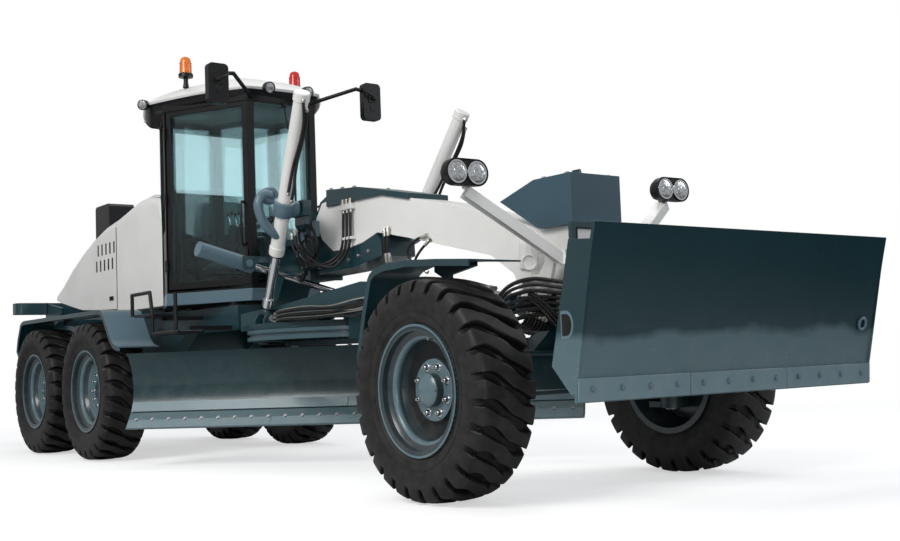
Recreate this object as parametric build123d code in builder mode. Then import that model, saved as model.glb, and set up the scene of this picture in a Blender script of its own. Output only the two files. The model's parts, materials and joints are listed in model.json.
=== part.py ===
from build123d import *
import os
from math import cos, hypot, radians, sin

# Motor grader with a six-wheel chassis, an articulated front frame, a circle-mounted moldboard and a
# front dozer blade.  Millimetres; +X forward, +Y left, +Z up.  The origin is on the ground, on the
# centre plane, halfway along the machine.

os.makedirs("parts", exist_ok=True)

# ---------------------------------------------------------------- driving dimensions
tyre_diameter = 1330
tyre_width = 430
rim_diameter = 752
wheel_y = 1072
axle_z = tyre_diameter / 2
front_axle_x = 3675
wheelbase = 6270
tandem_spread = 1544
tandem_x = front_axle_x - wheelbase
rear_wheel_xs = (tandem_x + tandem_spread / 2, tandem_x - tandem_spread / 2)
hitch_x = 425
machine_half_length = 5215
circle_x = 875
circle_radius = 800
circle_z = 1050
blade_angle = 41
blade_length = 3960
blade_height = 660
blade_low_z = 335
blade_shift = 24
cab_floor_z = 1430
cab_top_z = 3330
roof_crown_z = 3600

sides = (("right", -1), ("left", 1))


def side_profile(points, y=0):
    """Face in the XZ plane at the given Y, from (x, z) points; it extrudes towards -Y."""
    with BuildSketch(Plane.XZ.offset(-y)) as face:
        with BuildLine():
            Polyline(*points, close=True)
        make_face()
    return face.sketch


def plan_profile(points, z):
    """Face in the XY plane at the given Z, from (x, y) points; it extrudes upwards."""
    with BuildSketch(Plane.XY.offset(z)) as face:
        with BuildLine():
            Polyline(*points, close=True)
        make_face()
    return face.sketch


def front_profile(points, x):
    """Face in the YZ plane at the given X, from (y, z) points; it extrudes forwards."""
    with BuildSketch(Plane.YZ.offset(x)) as face:
        with BuildLine():
            Polyline(*points, close=True)
        make_face()
    return face.sketch


def round_bar(start, end, radius):
    """Solid cylinder between two points."""
    path = Vector(*end) - Vector(*start)
    plane = Plane(origin=start, z_dir=path)
    return Solid.make_cylinder(radius, path.length, plane)


def block(x0, x1, y0, y1, z0, z1):
    """Axis-aligned box from its limits."""
    return Solid.make_box(x1 - x0, y1 - y0, z1 - z0, Plane((x0, y0, z0)))


def band(points, depth):
    """Closed strip of the given depth on the right-hand side of a polyline."""
    inner = []
    for i, (x, z) in enumerate(points):
        ax, az = points[max(i - 1, 0)]
        bx, bz = points[min(i + 1, len(points) - 1)]
        run = hypot(bx - ax, bz - az)
        inner.append((x + depth * (bz - az) / run, z - depth * (bx - ax) / run))
    return points + inner[::-1]


def save(piece, name):
    """Label a finished piece and write its STEP file."""
    piece.part.label = name
    export_step(piece.part, f"parts/{name}.step")


# ---------------------------------------------------------------- rear frame
rail_y = 400
hinge_hood = (-4380, 1640)
rail_width = 120
rail_bottom = 1180
rail_top = 1400
rear_end_x = -machine_half_length
neck_half = 150
hitch_pin_radius = 45
hitch_lug_z = ((1620, 1680), (1900, 1960))

with BuildPart() as rear_frame:
    # Two box rails, dropped between the tandem wheels to meet the axle housing.
    rail = [(-150, rail_top), (-150, rail_bottom), (-1250, rail_bottom), (-1600, 960), (-3500, 960),
            (-3900, 1080), (-5035, 1080), (-5035, rail_top), (-4200, 1460), (-1950, 1460),
            (-1710, 1420), (-1400, rail_top)]
    for side in (-1, 1):
        y_mid = side * rail_y
        extrude(side_profile(rail, y_mid + rail_width / 2), amount=rail_width)
    for x0, x1, z0, z1 in ((-330, -150, rail_bottom, rail_top), (-1700, -1550, 1000, 1300),
                           (-3650, -3500, 1000, 1200), (-4900, -4700, 1080, 1400)):
        add(block(x0, x1, -rail_y, rail_y, z0, z1))
    # Neck that carries the two hitch lugs ahead of the cab.
    neck = [(-330, 1250), (-330, rail_top), (-60, rail_top), (-60, 1960), (150, 1960), (150, 1620),
            (20, 1420), (-120, 1300)]
    extrude(side_profile(neck), amount=neck_half, both=True)
    for z0, z1 in hitch_lug_z:
        with BuildSketch(Plane.XY.offset(z0)):
            with Locations((hitch_x, 0)):
                Circle(120)
            with Locations((hitch_x / 2 + 70, 0)):
                Rectangle(hitch_x - 140, 240)
            with Locations((hitch_x, 0)):
                Circle(hitch_pin_radius + 0.5, mode=Mode.SUBTRACT)
        extrude(amount=z1 - z0)
    # Rear guard: upright end plates and the full-width round-ended bumper.
    for side in (-1, 1):
        end_plate = [(-4900, 1080), (-4900, 1420), (-4480, 1560), (-4480, 1620), (-5010, 1700),
                     (-5060, 1580), (-5060, 1080)]
        extrude(side_profile(end_plate, side * 560 + 15), amount=30)
    add(block(-5060, -5030, -575, 575, 1080, 1600))
    with BuildSketch(Plane.XY.offset(1575)):
        with Locations(((rear_end_x - 4990) / 2, 0)):
            RectangleRounded(-4990 - rear_end_x, 1880, 70)
    extrude(amount=135)
    # Ears and pins of the hood's rear hinge.
    for side in (-1, 1):
        ear = [(-4450, 1430), (-4300, 1450), (-4350, 1670), (-4410, 1670)]
        extrude(side_profile(ear, side * 365 + 10), amount=20)
        add(round_bar((hinge_hood[0], side * 365, hinge_hood[1]),
                      (hinge_hood[0], side * 300, hinge_hood[1]), 15))
    # Tow hitch jaws low on the rear plate, bored for the drawbar pin.
    for z0 in (1120, 1260):
        with BuildSketch(Plane.XY.offset(z0)):
            with Locations((-5080, 0)):
                Rectangle(120, 180)
            with Locations((-5105, 0)):
                Circle(70)
                Circle(25, mode=Mode.SUBTRACT)
        extrude(amount=40)
save(rear_frame, "rear_frame")

# ---------------------------------------------------------------- tandem drive
case_y = 745
case_half = 95
tandem_arch = 190
with BuildPart() as tandem_drive:
    for side in (-1, 1):
        y_in = side * case_y
        with BuildSketch(Plane.XZ.offset(-y_in)):
            with Locations((tandem_x, axle_z)):
                Rectangle(tandem_spread, 2 * tandem_arch)
            for wheel_x in rear_wheel_xs:
                with Locations((wheel_x, axle_z)):
                    Circle(tandem_arch)
        extrude(amount=case_half, both=True)
        for wheel_x in rear_wheel_xs:
            add(round_bar((wheel_x, y_in, axle_z), (wheel_x, side * (wheel_y - 40), axle_z), 110))
    # Cross axle housing with its round centre drum and the saddles that bolt under the rails.
    add(round_bar((tandem_x, -case_y, axle_z), (tandem_x, case_y, axle_z), 130))
    with BuildSketch(Plane.XZ):
        with Locations((tandem_x, axle_z)):
            Circle(240)
    extrude(amount=210, both=True)
    for side in (-1, 1):
        y_mid = side * rail_y
        add(block(tandem_x - 200, tandem_x + 200, y_mid - 60, y_mid + 60, axle_z + 60, 960))
save(tandem_drive, "tandem_drive")

# ---------------------------------------------------------------- rear fenders
fender_in = 860
fender_out = 1250
fender_skin = 12
fender_top = 1420
with BuildPart() as rear_fenders:
    # From the tail curl over the flat top to the flare that lands ahead of the middle wheel.
    sweep = [(-3935, 1035), (-4005, 1103), (-3957, 1240), (-3857, 1398), (-3800, 1425), (-3713, 1435),
             (-1480, 1432), (-1389, 1412), (-1330, 1360), (-1268, 1279), (-1173, 1155), (-1110, 1102),
             (-1040, 1077), (-970, 1070)]
    for side in (-1, 1):
        y_high = max(side * fender_in, side * fender_out)
        extrude(side_profile(band(sweep, fender_skin), y_high), amount=fender_out - fender_in)
        # Rolled lip along the outer edge.
        y_high = max(side * (fender_out - 12), side * fender_out)
        extrude(side_profile(band(sweep, 42), y_high), amount=12)
        # Two brackets that reach in to the frame rails.
        y_rail = side * (rail_y + rail_width / 2)
        for x_mid in (-1750, -3350):
            low, high = sorted((y_rail, side * (fender_in + 60)))
            add(block(x_mid - 40, x_mid + 40, low, high, fender_top - 60, fender_top + 5))
save(rear_fenders, "rear_fenders")

# ---------------------------------------------------------------- cab
# Plan of the cab, right half from front to rear: (x, y).
cab_front = (-75, 350)
cab_mid = (-925, 790)
cab_rear = (-1700, 500)
cab_plan = [(cab_front[0], -cab_front[1]), (cab_front[0], cab_front[1]), (cab_mid[0], cab_mid[1]),
            (cab_rear[0], cab_rear[1]), (cab_rear[0], -cab_rear[1]), (cab_mid[0], -cab_mid[1])]
cab_wall = 55
sill_z = 1560
pillar = 60
header = 90


def face_plane(start, end):
    """Upright plane on a cab face: X runs from start to end, Y up, Z outwards to the right of X."""
    run = Vector(end[0] - start[0], end[1] - start[1], 0)
    return Plane(origin=(start[0], start[1], 0), x_dir=run, z_dir=run.cross(Vector(0, 0, 1)))


def span(start, end):
    """Length of a cab face in plan."""
    return hypot(end[0] - start[0], end[1] - start[1])


# Cab faces: start, end, opening's left margin, right margin, sill height, head height.
right_face = ((cab_mid[0], -cab_mid[1]), (cab_front[0], -cab_front[1]))
left_face = ((cab_front[0], cab_front[1]), (cab_mid[0], cab_mid[1]))
front_face = ((cab_front[0], -cab_front[1]), (cab_front[0], cab_front[1]))
rear_right_face = ((cab_rear[0], -cab_rear[1]), (cab_mid[0], -cab_mid[1]))
rear_left_face = ((cab_mid[0], cab_mid[1]), (cab_rear[0], cab_rear[1]))
rear_face = ((cab_rear[0], cab_rear[1]), (cab_rear[0], -cab_rear[1]))
door_sill_z = sill_z
head_z = cab_top_z - header
cab_openings = [(front_face, pillar, pillar, sill_z + 40, head_z),
                (right_face, 10, 10, door_sill_z, cab_top_z - 40),
                (left_face, 10, 10, door_sill_z, cab_top_z - 40),
                (rear_right_face, 90, 70, 2150, head_z),
                (rear_left_face, 70, 90, 2150, head_z),
                (rear_face, 90, 90, 2620, head_z)]

with BuildPart() as cab_shell:
    extrude(plan_profile(cab_plan, cab_floor_z), amount=cab_top_z - cab_floor_z)
    with BuildSketch(Plane.XY.offset(cab_floor_z + 60)):
        with BuildLine():
            Polyline(*cab_plan, close=True)
        make_face()
        offset(amount=-cab_wall, kind=Kind.INTERSECTION, mode=Mode.REPLACE)
    extrude(amount=cab_top_z - cab_floor_z, mode=Mode.SUBTRACT)
    for (start, end), margin_a, margin_b, low, high in cab_openings:
        width = span(start, end) - margin_a - margin_b
        with BuildSketch(face_plane(start, end)):
            with Locations((margin_a + width / 2, (low + high) / 2)):
                Rectangle(width, high - low)
        extrude(amount=cab_wall + 60, both=True, mode=Mode.SUBTRACT)
    # Slim corner posts stand inboard of the door edges.
    for side in (-1, 1):
        add(round_bar((cab_mid[0] - 10, side * (cab_mid[1] - 88), cab_floor_z + 30),
                      (cab_mid[0] - 10, side * (cab_mid[1] - 88), cab_top_z), 28))
        add(round_bar((cab_front[0] - 64, side * (cab_front[1] - 58), cab_floor_z + 30),
                      (cab_front[0] - 64, side * (cab_front[1] - 58), cab_top_z), 24))
    # Mounts down to the frame rails.
    for side in (-1, 1):
        for x_mid in (-280, -1200):
            add(block(x_mid - 60, x_mid + 60, side * rail_y - 50, side * rail_y + 50, rail_top,
                      cab_floor_z + 5))
save(cab_shell, "cab_shell")

glass = 8
with BuildPart() as cab_glass:
    panes = [row for row in cab_openings if row[0] not in (right_face, left_face)]
    for (start, end), margin_a, margin_b, low, high in panes:
        width = span(start, end) - margin_a - margin_b
        with BuildSketch(face_plane(start, end).offset(-cab_wall / 2)):
            with Locations((margin_a + width / 2, (low + high) / 2)):
                Rectangle(width, high - low)
        extrude(amount=-glass)
save(cab_glass, "cab_glass")

# Roof: domed cap on a wider plan than the cab, with a dark visor lip below it.
roof_plan = [(-20, 300), (-20, -300), (-110, -400), (-1000, -850), (-1130, -850), (-1830, -600),
             (-1900, -520), (-1900, 520), (-1830, 600), (-1130, 850), (-1000, 850), (-110, 400)]
roof_mid_x = -960
# Levels of the dome: height, scale of the plan about its middle.
roof_levels = ((cab_top_z, 0.96), (cab_top_z + 65, 1.0), (3470, 0.985), (3540, 0.91), (3585, 0.74),
               (roof_crown_z, 0.45))
with BuildPart() as cab_roof:
    for z, scale_xy in roof_levels:
        points = [(roof_mid_x + (x - roof_mid_x) * scale_xy, y * scale_xy) for x, y in roof_plan]
        with BuildSketch(Plane.XY.offset(z)):
            with BuildLine():
                Polyline(*points, close=True)
            make_face()
    loft(ruled=True)
save(cab_roof, "cab_roof")

# Doors: framed leaves on the slanted faces, hinged on the middle corners.
door_gap = 18
door_thick = 45
for name, side in sides:
    start, end = right_face
    if side > 0:
        start, end = (start[0], -start[1]), (end[0], -end[1])
    leaf_plane = face_plane(start, end)
    width = span(start, end) - 2 * door_gap
    low, high = door_sill_z + door_gap, cab_top_z - 40 - door_gap
    with BuildPart() as door:
        with BuildSketch(leaf_plane.offset(-5 if side < 0 else 5)):
            with Locations((door_gap + width / 2, (low + high) / 2)):
                Rectangle(width, high - low)
                Rectangle(width - 110, high - low - 130, mode=Mode.SUBTRACT)
        extrude(amount=-door_thick if side < 0 else door_thick)
    save(door, f"door_{name}")
    with BuildPart() as pane:
        with BuildSketch(leaf_plane.offset(-22 if side < 0 else 22)):
            with Locations((door_gap + width / 2, (low + high) / 2)):
                Rectangle(width - 110, high - low - 130)
        extrude(amount=-glass if side < 0 else glass)
    save(pane, f"door_{name}_glass")

# Seat on its pedestal.
with BuildPart() as seat:
    add(block(-1330, -990, -170, 170, cab_floor_z + 60, 1750))
    add(block(-1420, -920, -250, 250, 1750, 1890))
    seat_back = [(-1440, 1850), (-1310, 1850), (-1400, 2560), (-1520, 2560)]
    extrude(side_profile(seat_back), amount=240, both=True)
    for side in (-1, 1):
        add(block(-1400, -1040, side * 290 - 40, side * 290 + 40, 2080, 2140))
        add(block(-1400, -1340, side * 270 - 50, side * 270 + 50, 1860, 2100))
save(seat, "seat")

with BuildPart() as steering_column:
    pedestal = [(-330, cab_floor_z + 60), (-180, cab_floor_z + 60), (-330, 2060), (-450, 2060)]
    extrude(side_profile(pedestal), amount=90, both=True)
    wheel_hub = (-470, 0, 2120)
    wheel_plane = Plane(origin=wheel_hub, z_dir=(-0.5, 0, 0.87))
    with BuildSketch(wheel_plane):
        Circle(215)
        Circle(187, mode=Mode.SUBTRACT)
        Rectangle(390, 34)
        Rectangle(34, 390)
        Circle(48)
    extrude(amount=13, both=True)
    add(round_bar((-400, 0, 2000), wheel_hub, 34))
save(steering_column, "steering_column")

# ---------------------------------------------------------------- cowl, hood and engine
hood_half = 640
cowl_rear_x = -2545
cowl_low = 1460
with BuildPart() as cowl:
    cowl_side = [(-1360, cowl_low), (-1250, 1560), (-1330, 2380), (-1440, 2560), (-1700, 2600),
                 (-2000, 2580), (cowl_rear_x, 2470), (cowl_rear_x, cowl_low)]
    extrude(side_profile(cowl_side), amount=hood_half, both=True)
    top_edges = cowl.edges().filter_by(lambda e: e.center().Z > 2400 and abs(e.center().Y) > hood_half - 1)
    fillet(top_edges, radius=110)
    # The rear of the cab sits in a pocket with a small gap all round.
    with BuildSketch(Plane.XY.offset(cowl_low - 50)):
        with BuildLine():
            Polyline(*cab_plan, close=True)
        make_face()
        offset(amount=12, kind=Kind.INTERSECTION, mode=Mode.REPLACE)
    extrude(amount=1400, mode=Mode.SUBTRACT)
save(cowl, "cowl")

hood_front_x = cowl_rear_x - 20
hood_skin = 18
hood_low = 1500
# Cross-sections of the hood from front to tail: X, top Z, bottom Z.
hood_sections = [(hood_front_x, 2466, hood_low), (-2900, 2420, 1512), (-3250, 2330, 1526),
                 (-3600, 2210, 1545), (-3950, 2060, 1605), (-4250, 1900, 1660), (-4440, 1775, 1700)]


def hood_form(inset, drop=0):
    """Hood volume lofted through its sections, drawn in by an inset and let down by a drop below."""
    with BuildPart() as form:
        for x, top, low in hood_sections:
            if drop and x == hood_sections[0][0]:
                x += 30
            if x == hood_sections[-1][0]:
                x += inset
            half, top, low = hood_half - inset, top - inset, low - drop
            round_off = min(110 - inset, 0.6 * (top - low))
            with BuildSketch(Plane.YZ.offset(x)):
                with BuildLine():
                    Polyline((half, top - round_off), (half, low), (-half, low), (-half, top - round_off))
                    RadiusArc((-half, top - round_off), (-half + round_off, top), round_off)
                    Line((-half + round_off, top), (half - round_off, top))
                    RadiusArc((half - round_off, top), (half, top - round_off), round_off)
                make_face()
        loft(ruled=True)
    return form.part


with BuildPart() as hood:
    add(hood_form(0))
    # Open front and underside.
    add(hood_form(hood_skin, 90), mode=Mode.SUBTRACT)
    # Two rows of upright louvre slots in each side, and cross slots in the sloping tail.
    for row_z, first_x in ((2160, -3080), (1990, -3130)):
        for i in range(5):
            with Locations((first_x + 115 * i, 0, row_z)):
                Box(42, 2 * hood_half + 20, 120, mode=Mode.SUBTRACT)
    # Hinge lugs at the tail.
    for side in (-1, 1):
        lug = [(hinge_hood[0] - 35, hinge_hood[1] - 30), (hinge_hood[0] + 35, hinge_hood[1] - 30),
               (hinge_hood[0] + 62, 1846), (hinge_hood[0] - 32, 1786)]
        extrude(side_profile(lug, side * 320 + 10), amount=20)
        add(round_bar((hinge_hood[0], side * 320 - 20, hinge_hood[1]),
                      (hinge_hood[0], side * 320 + 20, hinge_hood[1]), 15.5), mode=Mode.SUBTRACT)
save(hood, "hood")

with BuildPart() as intake_box:
    intake = [(-3660, 2150), (-3660, 2690), (-3630, 2720), (-3270, 2720), (-3240, 2690), (-3240, 2320)]
    extrude(side_profile(intake, -150), amount=300)
    add(hood_form(-1), mode=Mode.SUBTRACT)
save(intake_box, "intake_box")

with BuildPart() as engine:
    add(block(-3750, -2720, -300, 300, 1230, 2060))
    for side in (-1, 1):
        for x_mid in (-3600, -2850):
            low, high = sorted((side * 300, side * (rail_y + 30)))
            add(block(x_mid - 60, x_mid + 60, low, high, 1461, 1520))
save(engine, "engine")

# ---------------------------------------------------------------- access steps, mirrors and lamps
with BuildPart() as access_steps:
    tube = 17
    step_z = 1150
    for side in (-1, 1):
        y0, y1 = sorted((side * 830, side * 1090))
        add(block(-1000, -620, y0, y1, 1330, 1352))
        add(block(-560, -60, y0, y1, step_z, step_z + 22))
        y_out = side * 1080
        rail_path = [(-1050, 1341), (-1050, 1540), (-640, 1540), (-590, 1341), (-590, step_z + 17),
                     (-60, step_z + 17)]
        for (xa, za), (xb, zb) in zip(rail_path, rail_path[1:]):
            add(round_bar((xa, y_out, za), (xb, y_out, zb), tube))
            with Locations((xb, y_out, zb)):
                Sphere(tube)
        # Arms back to the frame rail.
        low, high = sorted((side * (rail_y + rail_width / 2), side * 870))
        add(block(-930, -870, low, high, 1300, 1335))
        add(block(-330, -270, low, high, rail_bottom, rail_bottom + 40))
        low, high = sorted((side * 830, side * 870))
        add(block(-330, -270, low, high, step_z, rail_bottom + 40))
        # Grab post beside the front corner of the cab.
        add(round_bar((-90, side * 1080, step_z + 17), (-90, side * 1080, 1500), tube))
save(access_steps, "access_steps")

mirror_x = 215
mirror_y = 790
with BuildPart() as mirrors:
    for side in (-1, 1):
        with BuildSketch(Plane.YZ.offset(mirror_x - 35)):
            with Locations((side * mirror_y, 3290)):
                RectangleRounded(190, 350, 40)
        extrude(amount=70)
        root = (cab_front[0] - 20, side * (cab_front[1] - 62), 3280)
        elbow = (mirror_x, side * (mirror_y - 160), 3400)
        add(round_bar(root, elbow, 18))
        with Locations(elbow):
            Sphere(18)
        add(round_bar(elbow, (mirror_x, side * (mirror_y - 60), 3390), 18))
    add(cab_shell.part, mode=Mode.SUBTRACT)
save(mirrors, "mirrors")

with BuildPart() as cab_lamps:
    for side in (-1, 1):
        # Beacon on a short stalk, work lamps under the roof's front and middle corners, tail lamps.
        base = (-850, side * 590, 3480)
        add(round_bar(base, (base[0], base[1], 3600), 22))
        add(round_bar((base[0], base[1], 3600), (base[0], base[1], 3640), 70))
        add(round_bar((base[0], base[1], 3640), (base[0], base[1], 3800), 58))
        add(round_bar((10, side * 200, 3365), (80, side * 200, 3350), 55))
        add(round_bar((-1150, side * 860, 3365), (-1090, side * 930, 3350), 50))
        add(block(-5100, -5060, side * 420 - 110, side * 420 + 110, 1360, 1460))
    add(cab_roof.part, mode=Mode.SUBTRACT)
save(cab_lamps, "cab_lamps")

# ---------------------------------------------------------------- front frame
boom_half = 170
boom_outline = [(760, 2060), (870, 2192), (985, 2205), (1050, 2145), (1790, 2150), (2680, 1955),
                (3630, 1670), (4050, 1660), (4050, 1110), (3450, 1110), (3330, 1400), (3090, 1548),
                (2100, 1775), (1700, 1858), (1480, 1800), (1201, 1770), (1030, 1775), (860, 1886)]
ball = Vector(3290, 0, 1190)
ball_radius = 62
with BuildPart() as boom:
    extrude(side_profile(boom_outline), amount=boom_half, both=True)
    # Ball on the underside of the nose that the drawbar's socket turns on.
    with Locations(tuple(ball)):
        Sphere(ball_radius)
    add(round_bar(tuple(ball), (3470, 0, ball.Z), 36))
save(boom, "boom")

saddle_half = 260
lift_top = Vector(1641, 776, 2924)
lift_eye = Vector(591, 565, 1292)
trunnion_z = 2100
lift_share = (trunnion_z - lift_eye.Z) / (lift_top.Z - lift_eye.Z)
trunnion = lift_eye + (lift_top - lift_eye) * lift_share
lift_pin_line = Vector(-0.2032, 0.9791, 0.0031)
swing_trunnion = Vector(670, -800, 1690)
swing_pin_line = Vector(0.9990, -0.0147, -0.0421)

with BuildPart() as saddle:
    # Broad upright block behind the boom's heel, and the narrower bed that cradles the boom.
    heel = [(600, 1645), (600, 2014), (650, 2100), (740, 2140), (740, 1645)]
    extrude(side_profile(heel), amount=saddle_half, both=True)
    bed = [(600, 1566), (600, 2014), (650, 2100), (1100, 2130), (1640, 1880), (1735, 1790),
           (1740, 1672), (1310, 1612), (640, 1600), (640, 1566)]
    extrude(side_profile(bed), amount=160, both=True)
    cap = [(975, 2150), (980, 2292), (1472, 2250), (2160, 2108), (2160, 2060), (1784, 2140)]
    extrude(side_profile(cap), amount=190, both=True)
    strap = [(645, 2080), (745, 2222), (870, 2268), (990, 2292), (990, 2160), (860, 2150), (735, 2040)]
    extrude(side_profile(strap), amount=110, both=True)
    # Hitch forks above and below each lug of the rear frame.
    for z0, z1 in hitch_lug_z:
        for fork_z in (z0 - 50 - 4, z1 + 4):
            with BuildSketch(Plane.XY.offset(fork_z)):
                with Locations((hitch_x, 0)):
                    Circle(110)
                with Locations(((hitch_x + 620) / 2, 0)):
                    Rectangle(620 - hitch_x, 220)
            extrude(amount=50)
    add(round_bar((hitch_x, 0, hitch_lug_z[0][0] - 54), (hitch_x, 0, hitch_lug_z[1][1] + 54),
                  hitch_pin_radius))
    add(boom.part, mode=Mode.SUBTRACT)
    # Forked bracket for the side-swing cylinder, on the right only.
    sx, sy, sz = swing_trunnion.X, swing_trunnion.Y, swing_trunnion.Z
    fork = [(sx - 86, sy - 55), (sx - 68, sy - 55), (sx - 68, -430), (sx + 20, 5 - saddle_half),
            (sx - 68, 5 - saddle_half), (sx - 86, -430)]
    extrude(plan_profile(fork, sz - 55), amount=110)
    add(block(sx + 68, sx + 84, sy - 55, 5 - saddle_half, sz + 5, sz + 55))
    add(block(sx + 68, sx + 84, sy - 55, sy + 55, sz - 55, sz + 55))
    add(round_bar(tuple(swing_trunnion - swing_pin_line * 95),
                  tuple(swing_trunnion + swing_pin_line * 95), 30.5), mode=Mode.SUBTRACT)
    # Room for the side-swing rod where it passes under the right flank.
    add(block(626, 830, -saddle_half - 1, -110, 1500, 1644), mode=Mode.SUBTRACT)
    # Arms that reach out to the lift cylinders' trunnion blocks.
    for side in (-1, 1):
        reach = [(605, side * (saddle_half - 5)), (735, side * (saddle_half - 5)),
                 (trunnion.X + 60, side * (trunnion.Y - 200)),
                 (trunnion.X + 60, side * (trunnion.Y - 150)),
                 (trunnion.X - 90, side * (trunnion.Y - 150))]
        extrude(plan_profile(reach, trunnion_z - 130), amount=180)
        arm = [(trunnion.X - 110, trunnion_z - 60), (trunnion.X - 110, trunnion_z + 60),
               (trunnion.X + 110, trunnion_z + 60), (trunnion.X + 110, trunnion_z - 60)]
        y_high = max(side * (trunnion.Y - 190), side * (trunnion.Y - 115))
        extrude(side_profile(arm, y_high), amount=75)
        # Trunnion pin, square to the plane in which the cylinder swings.
        pin_end = (trunnion - lift_pin_line * 75)
        pin_root = (trunnion - lift_pin_line * 175)
        add(round_bar((pin_root.X, side * pin_root.Y, pin_root.Z),
                      (pin_end.X, side * pin_end.Y, pin_end.Z), 35))
save(saddle, "saddle")

box_half = 220
with BuildPart() as ballast_box:
    box_side = [(3270, 1890), (3620, 1990), (3970, 1990), (3970, 1665), (3660, 1665), (3640, 1672)]
    extrude(side_profile(box_side), amount=box_half, both=True)
    add(boom.part, mode=Mode.SUBTRACT)
save(ballast_box, "ballast_box")

lamp_y = 880
lamp_x = 3750
lamp_z = 1965
with BuildPart() as headlamps:
    for side in (-1, 1):
        foot = (3940, side * 300, 1440)
        tip = (lamp_x, side * (lamp_y - 40), lamp_z - 90)
        add(block(3900, 3980, min(side * 170, side * 310), max(side * 170, side * 310), 1400, 1480))
        add(round_bar(foot, tip, 24))
        with BuildSketch(Plane.YZ.offset(lamp_x - 60)):
            with Locations((side * lamp_y, lamp_z)):
                SlotOverall(330, 190)
        extrude(amount=120)
save(headlamps, "headlamps")

# ---------------------------------------------------------------- front axle, leaning yokes, knuckles
lean_y = 840
lean_z = 600
kingpin_y = 940
beam_half = 75
tie_x = front_axle_x - 170
with BuildPart() as front_axle:
    beam = [(-lean_y + 70, lean_z - 70), (-lean_y + 70, lean_z + 70), (-480, 800), (-250, 1000),
            (250, 1000), (480, 800), (lean_y - 70, lean_z + 70), (lean_y - 70, lean_z - 70),
            (480, lean_z - 30), (250, 760), (-250, 760), (-480, lean_z - 30)]
    extrude(front_profile(beam, front_axle_x - beam_half), amount=2 * beam_half)
    for side in (-1, 1):
        add(round_bar((front_axle_x - 95, side * lean_y, lean_z),
                      (front_axle_x + 95, side * lean_y, lean_z), 38))
        for x0, x1 in ((-beam_half, -beam_half + 22), (beam_half - 22, beam_half)):
            add(block(front_axle_x + x0, front_axle_x + x1, side * (lean_y - 30) - 70,
                      side * (lean_y - 30) + 70, lean_z - 55, lean_z + 55))
    # Centre pivot block under the boom's nose.
    add(block(front_axle_x - 200, front_axle_x + 200, -160, 160, 1000, 1105))
save(front_axle, "front_axle")

for name, side in sides:
    with BuildPart() as yoke:
        # Lean yoke: a lug between the beam's ears and a kingpin post with two eyes.
        add(block(front_axle_x - 46, front_axle_x + 46, min(side * (lean_y - 45), side * (kingpin_y + 10)),
                  max(side * (lean_y - 45), side * (kingpin_y + 10)), lean_z - 60, lean_z + 60))
        add(round_bar((front_axle_x - 50, side * lean_y, lean_z),
                      (front_axle_x + 50, side * lean_y, lean_z), 38.5), mode=Mode.SUBTRACT)
        add(round_bar((front_axle_x, side * kingpin_y, lean_z - 150),
                      (front_axle_x, side * kingpin_y, lean_z + 280), 45))
    save(yoke, f"lean_yoke_{name}")

    with BuildPart() as knuckle:
        for z0, z1 in ((lean_z - 150, lean_z - 75), (lean_z + 75, lean_z + 150)):
            add(round_bar((front_axle_x, side * kingpin_y, z0), (front_axle_x, side * kingpin_y, z1), 85))
        wall_in, wall_out = sorted((side * (kingpin_y + 62), side * (kingpin_y + 100)))
        add(block(front_axle_x - 70, front_axle_x + 70, wall_in, wall_out, lean_z - 150, lean_z + 150))
        add(round_bar((front_axle_x, side * (kingpin_y + 60), axle_z),
                      (front_axle_x, side * (wheel_y - 8), axle_z), 60))
        add(round_bar((front_axle_x, side * kingpin_y, lean_z - 151),
                      (front_axle_x, side * kingpin_y, lean_z + 151), 45.5), mode=Mode.SUBTRACT)
        # Steering arm, straight back from the lower ear.
        arm_plan = [(front_axle_x - 50, side * (kingpin_y - 55)),
                    (front_axle_x - 50, side * (kingpin_y + 55)),
                    (tie_x - 28, side * (kingpin_y + 26)), (tie_x - 28, side * (kingpin_y - 26))]
        extrude(plan_profile(arm_plan, lean_z - 148), amount=40)
    save(knuckle, f"knuckle_{name}")

    with BuildPart() as front_fender:
        # Curled tail, upright back, rounded shoulder and flat top, as offsets from the axle.
        sweep = [(-738, 786), (-800, 818), (-822, 872), (-745, 1150), (-668, 1375), (-640, 1408),
                 (-590, 1434), (-480, 1454), (-235, 1461), (65, 1441), (395, 1412)]
        sweep = [(front_axle_x + dx, z) for dx, z in sweep]
        y_high = max(side * 740, side * 1135)
        extrude(side_profile(band(sweep, 10), y_high), amount=395)
        y_high = max(side * 1122, side * 1135)
        extrude(side_profile(band(sweep, 42), y_high), amount=13)
        # Bracket from the knuckle's inner side, up past the tyre's shoulder and out under the skin.
        strut_y = side * 815
        strut = [(-80, 690), (-170, 700), (-250, 900), (-250, 1350), (-350, 1400), (-350, 1454), (60, 1436),
                 (60, 1405), (-190, 1370), (-190, 900), (-80, 800)]
        strut = [(front_axle_x + dx, z) for dx, z in strut]
        extrude(side_profile(strut, strut_y + 15), amount=30)
    save(front_fender, f"front_fender_{name}")


# Tie rod and lean bar that join the two sides of the axle.
with BuildPart() as tie_rod:
    add(round_bar((tie_x, -kingpin_y, lean_z), (tie_x, kingpin_y, lean_z), 16))
    for side in (-1, 1):
        add(round_bar((tie_x, side * kingpin_y, lean_z - 20), (tie_x, side * kingpin_y, lean_z + 20), 32))
save(tie_rod, "tie_rod")

lean_bar_z = lean_z + 260
with BuildPart() as lean_bar:
    bar_x = front_axle_x + 98
    add(round_bar((bar_x, -(kingpin_y - 60), lean_bar_z), (bar_x, kingpin_y - 60, lean_bar_z), 17))
save(lean_bar, "lean_bar")

# ---------------------------------------------------------------- wheels
bead_radius = rim_diameter / 2 + 1
bead_half = 172
half_tread = 192
shoulder_drop = 22


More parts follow.
